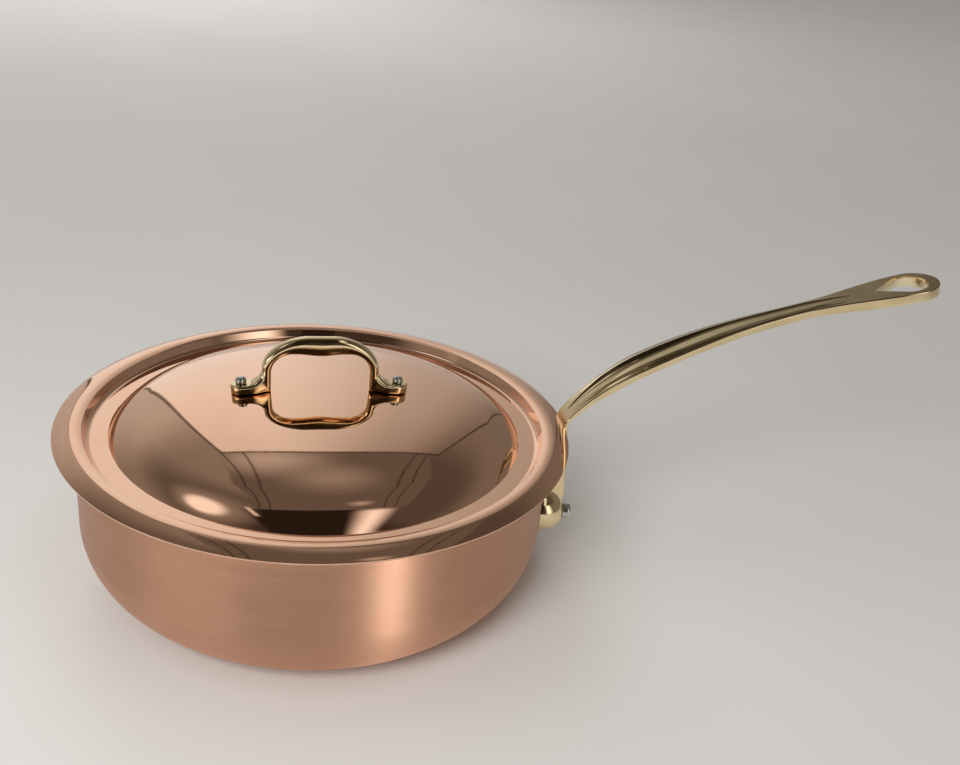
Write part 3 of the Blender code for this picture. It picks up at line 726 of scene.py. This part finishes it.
# %% Draw the section of the lid
LID_COPPER, LID_STEEL = 1.2 * MM, 0.5 * MM
LID_SHEET = LID_COPPER + GAP + LID_STEEL
LID_RADIUS, RIDGE_INSET, RING_WIDTH, CHANNEL_WIDTH = 137.5 * MM, 7.0 * MM, 7.8 * MM, 12.7 * MM
RIDGE_RADIUS = LID_RADIUS - RIDGE_INSET
RING_RADIUS = RIDGE_RADIUS - RING_WIDTH
DOME_FOOT = RING_RADIUS - CHANNEL_WIDTH
DOME_RISE, DOME_RADIUS, DOME_CURL, SHOULDER_WIDTH = 21.8 * MM, 700 * MM, 65.0, 18.0 * MM
BAND_DROP, CHANNEL_DEPTH, CHANNEL_BEND = 2.9 * MM, 3.5 * MM, 3.2 * MM
CREASE_INSET, CREASE_RISE = 14.6 * MM, 2.1 * MM
SOFT_RIDGE_INSET, SOFT_RIDGE_RISE = 9.8 * MM, 3.1 * MM


def ring_height(radius):
    rim = LIP_RADIUS - PAN_SHEET * math.sin(LIP_SLOPE)
    over = (GAP + LID_SHEET) / math.cos(LIP_SLOPE)
    return RIM_HEIGHT + (radius - rim) * math.tan(LIP_SLOPE) + over


LID_EDGE_HEIGHT = ring_height(RIDGE_RADIUS) - BAND_DROP
CHANNEL_HEIGHT = ring_height(RING_RADIUS) - CHANNEL_DEPTH


def dome_height(x):
    return CHANNEL_HEIGHT + DOME_RISE - x ** 2 / (2 * DOME_RADIUS) - DOME_CURL * x ** 4


def dome_lean(x):
    return math.atan(x / DOME_RADIUS + 4 * DOME_CURL * x ** 3)


def curve(start, control, end, steps):
    """Points after the start on a curve that leaves and arrives toward one control."""
    points = []
    for i in range(1, steps + 1):
        t = i / steps
        points.append(tuple(
            (1 - t) ** 2 * a + 2 * t * (1 - t) * b + t * t * c
            for a, b, c in zip(start, control, end)
        ))
    return points


def lid_line():
    shoulder = DOME_FOOT - SHOULDER_WIDTH
    line = [(shoulder * i / 36, dome_height(shoulder * i / 36)) for i in range(37)]
    bend = SHOULDER_WIDTH * 0.6
    control = (shoulder + bend, line[-1][1] - bend * math.tan(dome_lean(shoulder)))
    line += curve(line[-1], control, (DOME_FOOT, CHANNEL_HEIGHT), 18)
    crease = (LID_RADIUS - CREASE_INSET, LID_EDGE_HEIGHT + CREASE_RISE)
    ridge = (LID_RADIUS - SOFT_RIDGE_INSET, LID_EDGE_HEIGHT + SOFT_RIDGE_RISE)
    middle = (crease[0] - 4.5 * MM, CHANNEL_HEIGHT + CHANNEL_BEND)
    line += arc(middle, CHANNEL_BEND, -90, -25, 10)
    inside = [crease] + curve(crease, (crease[0] + 2.4 * MM, ridge[1] - 0.25 * MM), ridge, 8)
    control = (ridge[0] + 5.6 * MM, ridge[1] - 1.0 * MM)
    band = curve(ridge, control, (LID_RADIUS, LID_EDGE_HEIGHT), 16)
    return line + inside[:-3] + curve(inside[-4], ridge, band[2], 6) + band[3:]


print("lid edge at", round(LID_EDGE_HEIGHT / MM, 2), "mm")
print("channel at", round(CHANNEL_HEIGHT / MM, 2), "mm")

# %% [markdown]
# The lid's copper is this line and a second one, moved inward by the thickness of the
# sheet. The steel skin under it stops short of the turned-down edge, so that the edge is
# plain copper.

# %% Turn the lid
lid_top = lid_line()
lid_copper = turned(
    "lid_copper_shell", lid_top + moved_line(lid_top, -LID_COPPER)[::-1],
    mirror_copper, "lid", "lid_shell", bevel=0.5 * MM,
)
inner = len([p for p in lid_top if p[0] < RIDGE_RADIUS - 1.5 * MM])
steel_top = moved_line(lid_top, -LID_COPPER - GAP)[:inner]
steel_under = moved_line(lid_top, -LID_SHEET)[:inner]
lid_steel = turned(
    "lid_steel_skin", steel_top + steel_under[::-1],
    lining_steel, "lid", "lid_lining", bevel=0.15 * MM,
)
print("lid turned:", lid_copper.name, lid_steel.name)

# %% [markdown]
# ## Skins, cuts and joints
#
# The handles are cast, so they aren't turned. Each is a skin pulled over a row of
# rings, like cloth over the ribs of a boat. Where two castings meet, or a hole goes
# through, one shape is added to another or cut from it, and the result is made plain
# mesh at once, so that the shape that cut it can be thrown away.

# %% Make the helpers for skins and cuts
def skinned(name, rings, finish=None, closed=True, last_cap=True):
    """A skin through rings of points that all have the same count."""
    shape = bmesh.new()
    rows = [[shape.verts.new(point) for point in ring] for ring in rings]
    spans = len(rows[0]) - (0 if closed else 1)
    for first, second in zip(rows, rows[1:]):
        for i in range(spans):
            j = (i + 1) % len(first)
            shape.faces.new((first[i], first[j], second[j], second[i]))
    shape.faces.new(rows[0][::-1])
    if last_cap:
        shape.faces.new(rows[-1])
    return object_from(shape, name, finish)


def mirrored(made, axis):
    step = made.modifiers.new("mirror", "MIRROR")
    step.use_axis = [i == axis for i in range(3)]
    step.merge_threshold = JOIN_WITHIN
    return settled(made)


def settled(made):
    """Turn what the modifiers give into plain mesh."""
    bpy.context.view_layer.update()
    graph = bpy.context.evaluated_depsgraph_get()
    mesh = bpy.data.meshes.new_from_object(made.evaluated_get(graph))
    made.modifiers.clear()
    made.data = mesh
    return made


def combined(made, tool, operation):
    """Add a shape to another one, or cut it away, and throw the tool away."""
    step = made.modifiers.new("cut", "BOOLEAN")
    step.operation = operation
    step.solver = "EXACT"
    step.object = tool
    settled(made)
    bpy.data.objects.remove(tool, do_unlink=True)
    return made


def smoothed(made, degrees):
    """Smooth shading, with edges kept where the skin turns by more than this."""
    made.data.shade_smooth()
    made.data.set_sharp_from_angle(angle=math.radians(degrees))
    return made


print("helpers ready")

# %% [markdown]
# ## The loop on the lid
#
# The loop runs from foot to foot as one bar. Each ring of its skin lies between a point
# inside the loop and a point outside it. A ring is an oval whose corners can be filled
# out: an exponent of 2 gives a plain oval, and 5 gives nearly a box. The feet are nearly
# boxes and the grip is a soft oval, so the exponent drops on the way up. The outer
# shoulder is a quarter of an oval, pulled in a little by a power above one.

# %% Lay out the loop's rings
LOOP_INNER, LOOP_LEG, LOOP_BAR, LOOP_DEPTH = 26.2 * MM, 4.8 * MM, 9.7 * MM, 8.0 * MM
LOOP_HEIGHT, INNER_CORNER, FILLET = 31.0 * MM, 10.5 * MM, 8.4 * MM
SHOULDER_REACH, SHOULDER_DROP, SHOULDER_PULL = 24.0 * MM, 17.0 * MM, 1.12
FOOT_LENGTH, FOOT_WIDTH, FOOT_THICKNESS = 16.0 * MM, 11.2 * MM, 5.2 * MM
FOOT_BOX, FILLET_BOX, LEG_BOX, GRIP_BOX = 5.0, 2.7, 2.6, 2.5
GRIP_BOW, GRIP_BOW_HALF = 1.0 * MM, 13.0 * MM


def dome_point(x, above):
    lean = dome_lean(x)
    return (x + above * math.sin(lean), dome_height(x) + above * math.cos(lean))


def blend(a, b, share):
    return a + (b - a) * share


def ease(value):
    value = min(max(value, 0.0), 1.0)
    return value * value * (3 - 2 * value)


def foot_rings():
    """From the foot's round end to the top of the fillet under the leg."""
    leg_out = LOOP_INNER + LOOP_LEG
    half = FOOT_WIDTH / 2
    rings = []
    for degrees in (88, 80, 71, 62, 53, 44, 35, 26, 17, 8, 0):
        x = leg_out + FOOT_LENGTH - half + half * math.sin(math.radians(degrees))
        low, high = dome_point(x, GAP), dome_point(x, GAP + FOOT_THICKNESS)
        rings.append((low, high, half * math.cos(math.radians(degrees)), FOOT_BOX))
    x = leg_out + FILLET
    foot_top = dome_point(x, GAP + FOOT_THICKNESS)[1]
    for i, outer in enumerate(arc((x, foot_top + FILLET), FILLET, -90, -180, 16)):
        share = i / 16
        inner = dome_point(blend(x - LOOP_LEG / 2, LOOP_INNER, share), GAP)
        depth = blend(half, LOOP_DEPTH / 2, ease(share))
        rings.append((inner, outer, depth, blend(FOOT_BOX, FILLET_BOX, ease(share))))
    return rings


def grip_rings(leg_top):
    """Up the leg, round the shoulder and along the grip to its middle."""
    base = dome_point(LOOP_INNER, GAP)[1]
    top_z = base + LOOP_HEIGHT
    under = top_z - LOOP_BAR
    corner_z = under - INNER_CORNER
    leg_out = LOOP_INNER + LOOP_LEG
    shoulder_z = max(top_z - SHOULDER_DROP, leg_top)
    rings = []
    for share in (0.25, 0.5, 0.75):
        inner = (LOOP_INNER, blend(base, corner_z, share))
        outer = (leg_out, blend(leg_top, shoulder_z, share))
        rings.append((inner, outer, LOOP_DEPTH / 2, LEG_BOX))
    corner = arc((LOOP_INNER - INNER_CORNER, corner_z), INNER_CORNER, 0, 90, 24)
    middle = (leg_out - SHOULDER_REACH, top_z - SHOULDER_DROP)
    shoulder = []
    for i in range(25):
        angle = math.pi / 2 * i / 24
        shoulder.append((
            middle[0] + SHOULDER_REACH * math.cos(angle) ** SHOULDER_PULL,
            middle[1] + SHOULDER_DROP * math.sin(angle) ** SHOULDER_PULL,
        ))
    rings += [(a, b, LOOP_DEPTH / 2, GRIP_BOX) for a, b in zip(corner, shoulder)]
    for i in range(1, 21):
        share = 1 - i / 20
        x = corner[-1][0] * share
        bow = GRIP_BOW * (1 + math.cos(math.pi * min(x / GRIP_BOW_HALF, 1.0))) / 2
        outer = (shoulder[-1][0] * share, top_z)
        rings.append(((x, under - bow), outer, LOOP_DEPTH / 2, GRIP_BOX))
    return rings


loop_rings = foot_rings()
loop_rings += grip_rings(loop_rings[-1][1][1])
print("half of the loop:", len(loop_rings), "rings")
print("top of the loop at", round(loop_rings[-1][1][1] / MM, 1), "mm")

# %% [markdown]
# The rings cover one half, and a mirror gives the other, so both legs are sure to match.
# The last ring is laid exactly on the mirror's plane, or the halves wouldn't meet.

# %% Cast the loop
def full_ring(inner, outer, depth, power, count=44):
    points = []
    for i in range(count):
        angle = 2 * math.pi * (i + 0.5) / count
        c, s = math.cos(angle), math.sin(angle)
        across = math.copysign(abs(c) ** (2 / power), c)
        sideways = math.copysign(abs(s) ** (2 / power), s)
        share = (1 + across) / 2
        x, z = blend(inner[0], outer[0], share), blend(inner[1], outer[1], share)
        points.append((x, sideways * depth, z))
    return points


rings = [full_ring(*ring) for ring in loop_rings]
rings[-1] = [(0.0, y, z) for x, y, z in rings[-1]]
loop = mirrored(skinned("brass_loop", rings, cast_brass, last_cap=False), 0)
smoothed(loop, 60)
print("loop cast:", len(loop.data.polygons), "faces")

# %% [markdown]
# ## Rivets
#
# A rivet is a pin with a head on one side. Its other end is hammered flat, so the pin
# can't come out. The heads here are turned like short barrels. Each rivet stands square
# to the metal that it holds: the two of the lid lean out with the dome.

# %% Turn the rivets
HEAD_CROWN = 0.62


def rivet_line(shank, head, height, seat, tail, tail_height, tail_seat):
    """Section of a rivet along its own axis, from the top of the head to its tail."""
    straight = height - head * HEAD_CROWN
    line = []
    for i in range(15):
        angle = math.radians(90 - i * 90 / 14)
        rise = seat + straight + head * HEAD_CROWN * math.sin(angle)
        line.append((head * math.cos(angle) ** 0.8, rise))
    line += [(head, seat + straight * 0.4), (head * 0.97, seat)]
    line += [(shank, seat), (shank, tail_seat)]
    line += [(tail, tail_seat), (tail * 0.93, tail_seat - tail_height * 0.5)]
    line += [(tail * 0.6, tail_seat - tail_height * 0.9), (0.0, tail_seat - tail_height)]
    return line


def rivet(name, line, height, lean, turn, body, node):
    made = turned(
        name, line, rivet_steel, body, node, bevel=0.25 * MM, steps=64
    )
    made.location = (0.0, 0.0, height)
    made.rotation_euler = (0.0, lean, turn)
    return made


def cutter(name, radius, low, high, height, lean, turn):
    """A plain pin that cuts a rivet's hole."""
    pin = bmesh.new()
    bmesh.ops.create_cone(
        pin, cap_ends=True, segments=48, radius1=radius, radius2=radius, depth=high - low,
        matrix=Matrix.Translation((0.0, 0.0, (high + low) / 2)),
    )
    made = object_from(pin, name)
    made.location = (0.0, 0.0, height)
    made.rotation_euler = (0.0, lean, turn)
    return made


LID_RIVET_INSET, LID_HOLE, HOLE_REACH = 5.6 * MM, 2.0 * MM, 0.02
rivet_x = LOOP_INNER + LOOP_LEG + FOOT_LENGTH - LID_RIVET_INSET
lid_lean = dome_lean(rivet_x)
lid_reach = rivet_x / math.sin(lid_lean)
lid_axis = dome_height(rivet_x) - lid_reach * math.cos(lid_lean)
head_seat = lid_reach + GAP + FOOT_THICKNESS + GAP
tail_seat = lid_reach - LID_SHEET - GAP
line = rivet_line(1.7 * MM, 2.9 * MM, 3.3 * MM, head_seat, 3.2 * MM, 1.0 * MM, tail_seat)
for side, name in ((-1, "left"), (1, "right")):
    lean_out = side * lid_lean
    rivet(f"lid_pin_{name}", line, lid_axis, lean_out, 0.0, "lid", f"lid_rivet_{name}")
    hole = cutter(
        "hole", LID_HOLE, lid_reach - HOLE_REACH, lid_reach + HOLE_REACH, lid_axis, lean_out, 0.0
    )
    combined(loop, hole, "DIFFERENCE")
belongs(loop, "lid", "lid_handle")
print("lid rivets lean", round(math.degrees(lid_lean), 2), "degrees")

# %% [markdown]
# ## The long handle
#
# The arm leaves an upright neck, bends out in arcs that each turn more gently, and ends
# in a flat eye. The last arc has no radius of its own: it fills the length that is left.
# The arm's width swells, narrows at the waist and swells again at the eye. A groove with
# sharp rims runs along the top and comes to a point at both ends. First come the places
# along the arm, each with the slope there.

# %% Lay out the arm
LID_GAP = 0.9 * MM
NECK_X = LID_RADIUS + LID_GAP
ARM_REACH = 218.5 * MM
ARM_END = LID_RADIUS + ARM_REACH
EYE_WIDTH = 30.0 * MM
EYE_X = ARM_END - EYE_WIDTH / 2
SWELL, WAIST, ARM_STRAIGHT = 45.0 * MM, 138.0 * MM, 18.0 * MM
ROOT_WIDTH, SWELL_WIDTH, WAIST_WIDTH = 16.4 * MM, 23.2 * MM, 14.0 * MM
GROOVE_SHARE = 0.53
GROOVE_STEPS = (0.0, 0.2, 0.38, 0.52, 0.64, 0.74, 0.82, 0.88, 0.94, 1.0)
NECK_DROP, NECK_DEGREES, WEB_EDGE = 2.0 * MM, 80, 1.6 * MM
LAST_SLOPE = 12.8
# Each arc of the arm: its radius in mm, the slope in degrees where it ends, and its
# steps. The last one has no radius of its own.
ARM_ARCS = ((12, 49, 14), (135, 26.6, 34), (400, 16.5, 28), (0, LAST_SLOPE, 32))
EYE_DEGREES = (*range(0, 84, 6), 86, 88.5)


def arm_places():
    """x, z and slope along the middle of the arm's top, from the neck to the eye."""
    x, z = NECK_X, LID_EDGE_HEIGHT - NECK_DROP
    angle = math.radians(NECK_DEGREES)
    buried = WEB_EDGE * 2
    places = [(x - buried * math.cos(angle), z - buried * math.sin(angle), angle)]
    for radius, degrees, steps in ARM_ARCS:
        radius, end = radius * MM, math.radians(degrees)
        if radius == 0:
            radius = (EYE_X - ARM_STRAIGHT - x) / (math.sin(angle) - math.sin(end))
        for i in range(steps):
            here = blend(angle, end, i / steps)
            places.append((
                x + radius * (math.sin(angle) - math.sin(here)),
                z + radius * (math.cos(here) - math.cos(angle)),
                here,
            ))
        x += radius * (math.sin(angle) - math.sin(end))
        z += radius * (math.cos(end) - math.cos(angle))
        angle = end
    rest = [blend(x, EYE_X, i / 8) for i in range(8)]
    rest += [EYE_X + EYE_WIDTH / 2 * math.sin(math.radians(d)) for d in EYE_DEGREES]
    return places + [(along, z + (along - x) * math.tan(angle), angle) for along in rest]


def arm_width(x):
    if x < NECK_X + SWELL:
        return blend(ROOT_WIDTH, SWELL_WIDTH, ease((x - NECK_X) / SWELL))
    if x < NECK_X + WAIST:
        return blend(SWELL_WIDTH, WAIST_WIDTH, ease((x - NECK_X - SWELL) / (WAIST - SWELL)))
    if x < EYE_X:
        share = (x - NECK_X - WAIST) / (EYE_X - NECK_X - WAIST)
        return blend(WAIST_WIDTH, EYE_WIDTH, ease(share))
    past = min(x - EYE_X, EYE_WIDTH / 2)
    return 2 * math.sqrt((EYE_WIDTH / 2) ** 2 - past ** 2)


GROOVE_START, GROOVE_OPENING = NECK_X + 3.0 * MM, 20.0 * MM
GROOVE_END, GROOVE_CLOSING = ARM_END - 53.0 * MM, 25.0 * MM


def groove_half(x):
    opening = min(max((x - GROOVE_START) / GROOVE_OPENING, 0.0), 1.0)
    closing = min(max((GROOVE_END - x) / GROOVE_CLOSING, 0.0), 1.0)
    return arm_width(x) / 2 * GROOVE_SHARE * math.sqrt(opening) * closing ** 0.75


places = arm_places()
print("arm:", len(places), "places, end at", round(places[-1][0] / MM, 1), "mm")

# %% [markdown]
# At each place the arm has a section. From the middle of the top it goes down into the
# groove, up to the sharp rim, out along a slope with one fine line cut in it, round the
# edge, down the side and under the belly.

# %% Pull the skin over the arm
CROWN, LINE_CUT, DEEP_GROOVE, FLAT_GROOVE = 1.3 * MM, 0.22 * MM, 2.7, 1.5
ROOT_SIDE, ARM_SIDE, EYE_SIDE = 2.1 * MM, 3.0 * MM, 5.8 * MM
ROOT_BELLY, ARM_BELLY, EYE_BELLY = 0.64 * MM, 3.2 * MM, 0.8 * MM
SLOPE_STEPS = (0.04, 0.12, 0.25, 0.40, 0.55, 0.70, 0.76, 0.80, 0.84, 0.90, 0.96)


def arm_section(x):
    half = arm_width(x) / 2
    share = groove_half(x) / (SWELL_WIDTH / 2 * GROOVE_SHARE)
    groove = max(groove_half(x), half * 0.03)
    crown = CROWN * share
    flatter = ease((x - NECK_X - SWELL) / (50.0 * MM))
    depth = blend(DEEP_GROOVE, FLAT_GROOVE, flatter) * MM * share
    to_eye = ease((x - NECK_X - WAIST * 0.85) / (ARM_REACH * 0.3))
    from_root = ease((x - NECK_X) / (SWELL * 0.6))
    side = blend(blend(ROOT_SIDE, ARM_SIDE, from_root), EYE_SIDE, to_eye)
    belly = blend(blend(ROOT_BELLY, ARM_BELLY, from_root), EYE_BELLY, to_eye)
    edge = min(half * 0.12, 0.6 * MM)
    points = [(groove * t, crown - depth * (1 - t ** 4)) for t in GROOVE_STEPS]
    slope = half - edge - groove
    for t in SLOPE_STEPS:
        line_cut = LINE_CUT * share if 0.75 < t < 0.85 else 0.0
        points.append((groove + slope * t, crown * (1 - t ** 1.3) - line_cut))
    points += [
        (half - edge + edge * math.sin(math.radians(a)), edge * (math.cos(math.radians(a)) - 1))
        for a in (0, 18, 36, 54, 72, 90)
    ]
    points += [(half, blend(-edge, -side, 0.5)), (half, -side)]
    for a in range(10, 91, 10):
        down = math.radians(a)
        points.append((half * math.cos(down), -side - belly * math.sin(down)))
    points[-1] = (0.0, -side - belly)
    return points


def arm_ring(x, z, angle):
    points = reversed(arm_section(x))
    return [(x - h * math.sin(angle), y, z + h * math.cos(angle)) for y, h in points]


half_arm = skinned("brass_handle", [arm_ring(*p) for p in places], arm_brass, closed=False)
arm = mirrored(half_arm, 1)
print("arm:", len(arm.data.polygons), "faces")

# %% [markdown]
# The eye's hole is a drop: a circle, and two lines that run from it to a point. It is
# cut through the finished arm, square to the arm's slope there. A fine bevel breaks the
# sharp edges that the cut leaves.

# %% Cut the eye
def slab(name, outline, depth):
    """A flat outline in its own XY plane, given a thickness along Z."""
    shape = bmesh.new()
    face = shape.faces.new([shape.verts.new((x, y, -depth / 2)) for x, y in outline])
    raised = bmesh.ops.extrude_face_region(shape, geom=[face])["geom"]
    corners = [item for item in raised if isinstance(item, bmesh.types.BMVert)]
    bmesh.ops.translate(shape, verts=corners, vec=(0.0, 0.0, depth))
    bmesh.ops.recalc_face_normals(shape, faces=shape.faces)
    return object_from(shape, name)


def bevelled(made, width, segments, degrees=40):
    add_bevel(made, width, segments, math.radians(degrees))
    return settled(made)


hole_radius, hole_tail, half_depth = 11.2 * MM, 20.0 * MM, 2.9 * MM
reach = math.degrees(math.acos(hole_radius / hole_tail))
drop = arc((0.0, 0.0), hole_radius, reach - 180, 180 - reach, 56)
tip = hole_radius * 0.12
drop += arc((tip - hole_tail, 0.0), tip, 180 - reach, 180 + reach, 10)
eye = slab("eye", drop, EYE_WIDTH)
nearest = min(places, key=lambda p: abs(p[0] - EYE_X))
eye.location = (nearest[0] - EYE_WIDTH * 0.07, 0.0, nearest[1] - half_depth)
eye.rotation_euler = (0.0, -math.radians(LAST_SLOPE), 0.0)
combined(arm, eye, "DIFFERENCE")
bevelled(arm, 0.35 * MM, 3, 55)
print("eye cut:", len(arm.data.polygons), "faces")

# %% [markdown]
# Below the arm come the neck, a plate along the wall, and two domed ears for the rivets.
# In a casting they flow into each other. A voxel remesh joins them into one skin, and a
# few rounds of smoothing melt the corners between them.

# %% Cast the neck, the plate and the ears
EAR_HEIGHT_Z = BASE_CORNER + 2.0 * MM
EAR_RADIUS, EAR_REACH, EAR_SPREAD = 12.2 * MM, 12.5 * MM, 24.0 * MM
EAR_FLAT_SHARE = 5.4 / 12.2
EAR_TURN = math.asin(EAR_SPREAD / PAN_RADIUS)
WEB_WIDTH, WEB_FOOT, WEB_TOP = 15.8 * MM, 6.6 * MM, 2.7 * MM
UNDER_LIP, LIP_SLANT = 5.3 * MM, 5.4 * MM
PLATE_THICKNESS, PLATE_HEIGHT, PLATE_EDGE = 5.2 * MM, 18.4 * MM, 4.0 * MM
VOXEL, MELT_ROUNDS = 0.45 * MM, 8


def ear(side):
    start = math.asin(EAR_FLAT_SHARE)
    line = [(0.0, PAN_RADIUS + EAR_REACH)]
    for i in range(17):
        angle = blend(start, math.pi / 2, i / 16)
        height = EAR_REACH / math.cos(start) * math.cos(angle)
        line.append((EAR_RADIUS * math.sin(angle), PAN_RADIUS + height))
    buried = PAN_RADIUS - PAN_SHEET - EAR_RADIUS
    made = settled(turned_shape("ear", line + [(EAR_RADIUS, buried), (0.0, buried)], 72))
    made.location = (0.0, 0.0, EAR_HEIGHT_Z)
    made.rotation_euler = (0.0, math.pi / 2, side * EAR_TURN)
    return made


def neck_web():
    low = EAR_HEIGHT_Z - EAR_RADIUS * 0.85
    far = LID_RADIUS + WEB_FOOT
    high = LID_EDGE_HEIGHT - NECK_DROP - WEB_EDGE
    under_lip = LID_EDGE_HEIGHT - UNDER_LIP - PAN_SHEET
    buried = PAN_RADIUS - PAN_SHEET - EAR_RADIUS / 2
    corner = EAR_RADIUS * 0.7
    outline = [(buried, low)] + arc((far - corner, low + corner), corner, -90, 0, 12)
    outline += [(NECK_X + WEB_TOP, high), (NECK_X, high), (LIP_RADIUS, under_lip)]
    outline.append((buried, under_lip - LIP_SLANT))
    made = slab("web", outline, WEB_WIDTH)
    made.rotation_euler = (math.pi / 2, 0.0, 0.0)
    return bevelled(made, WEB_EDGE, 5)


def back_plate():
    low, high = PAN_RADIUS - PAN_SHEET - EAR_RADIUS / 2, PAN_RADIUS + PLATE_THICKNESS
    outline = [(low, -EAR_SPREAD), (high, -EAR_SPREAD), (high, EAR_SPREAD), (low, EAR_SPREAD)]
    made = slab("plate", outline, PLATE_HEIGHT)
    made.location = (0.0, 0.0, EAR_HEIGHT_Z)
    return bevelled(made, PLATE_EDGE, 5)


root = neck_web()
combined(root, back_plate(), "UNION")
combined(root, ear(-1), "UNION")
combined(root, ear(1), "UNION")
remesh = root.modifiers.new("one_skin", "REMESH")
remesh.mode = "VOXEL"
remesh.voxel_size = VOXEL
melt = root.modifiers.new("melt", "SMOOTH")
melt.factor = 0.5
melt.iterations = MELT_ROUNDS
settled(root)
print("root of the handle:", len(root.data.polygons), "faces")

# %% [markdown]
# The root joins the arm, and the pan's own outer shape, one clearance larger, cuts the
# back of it. So the ears sit on the round wall with an even fine gap all the way.

# %% Join the root to the arm, and fit it to the wall
combined(arm, root, "UNION")
wall = moved_line(outside, -GAP)
wall[0] = (0.0, wall[0][1])
over = LID_EDGE_HEIGHT + EAR_RADIUS
fit = settled(turned_shape("wall", [(0.0, over), (wall[-1][0], over)] + wall[::-1], 256))
combined(arm, fit, "DIFFERENCE")
smoothed(arm, 38)
print("long handle, joined and fitted:", len(arm.data.polygons), "faces")

# %% [markdown]
# Two rivets go through the ears and the wall. They stand square to the round wall, so
# each is turned about the pan's axis by half the angle between the ears. Their holes in
# the casting are one clearance wider than their shanks.

# %% Rivet the handle to the pan
PAN_HOLE = 3.0 * MM
seat = PAN_RADIUS + EAR_REACH + GAP
tail_seat = PAN_RADIUS - PAN_SHEET - GAP - 0.25 * MM
line = rivet_line(2.7 * MM, 4.3 * MM, 5.6 * MM, seat, 5.8 * MM, 1.6 * MM, tail_seat)
for side, name in ((-1, "right"), (1, "left")):
    stand = (EAR_HEIGHT_Z, math.pi / 2, side * EAR_TURN)
    rivet(f"pan_pin_{name}", line, *stand, "pan", f"pan_rivet_{name}")
    hole = cutter("hole", PAN_HOLE, PAN_RADIUS - 0.01, seat + 0.01, *stand)
    combined(arm, hole, "DIFFERENCE")
belongs(arm, "pan", "pan_handle")
print("long handle with its holes:", len(arm.data.polygons), "faces")
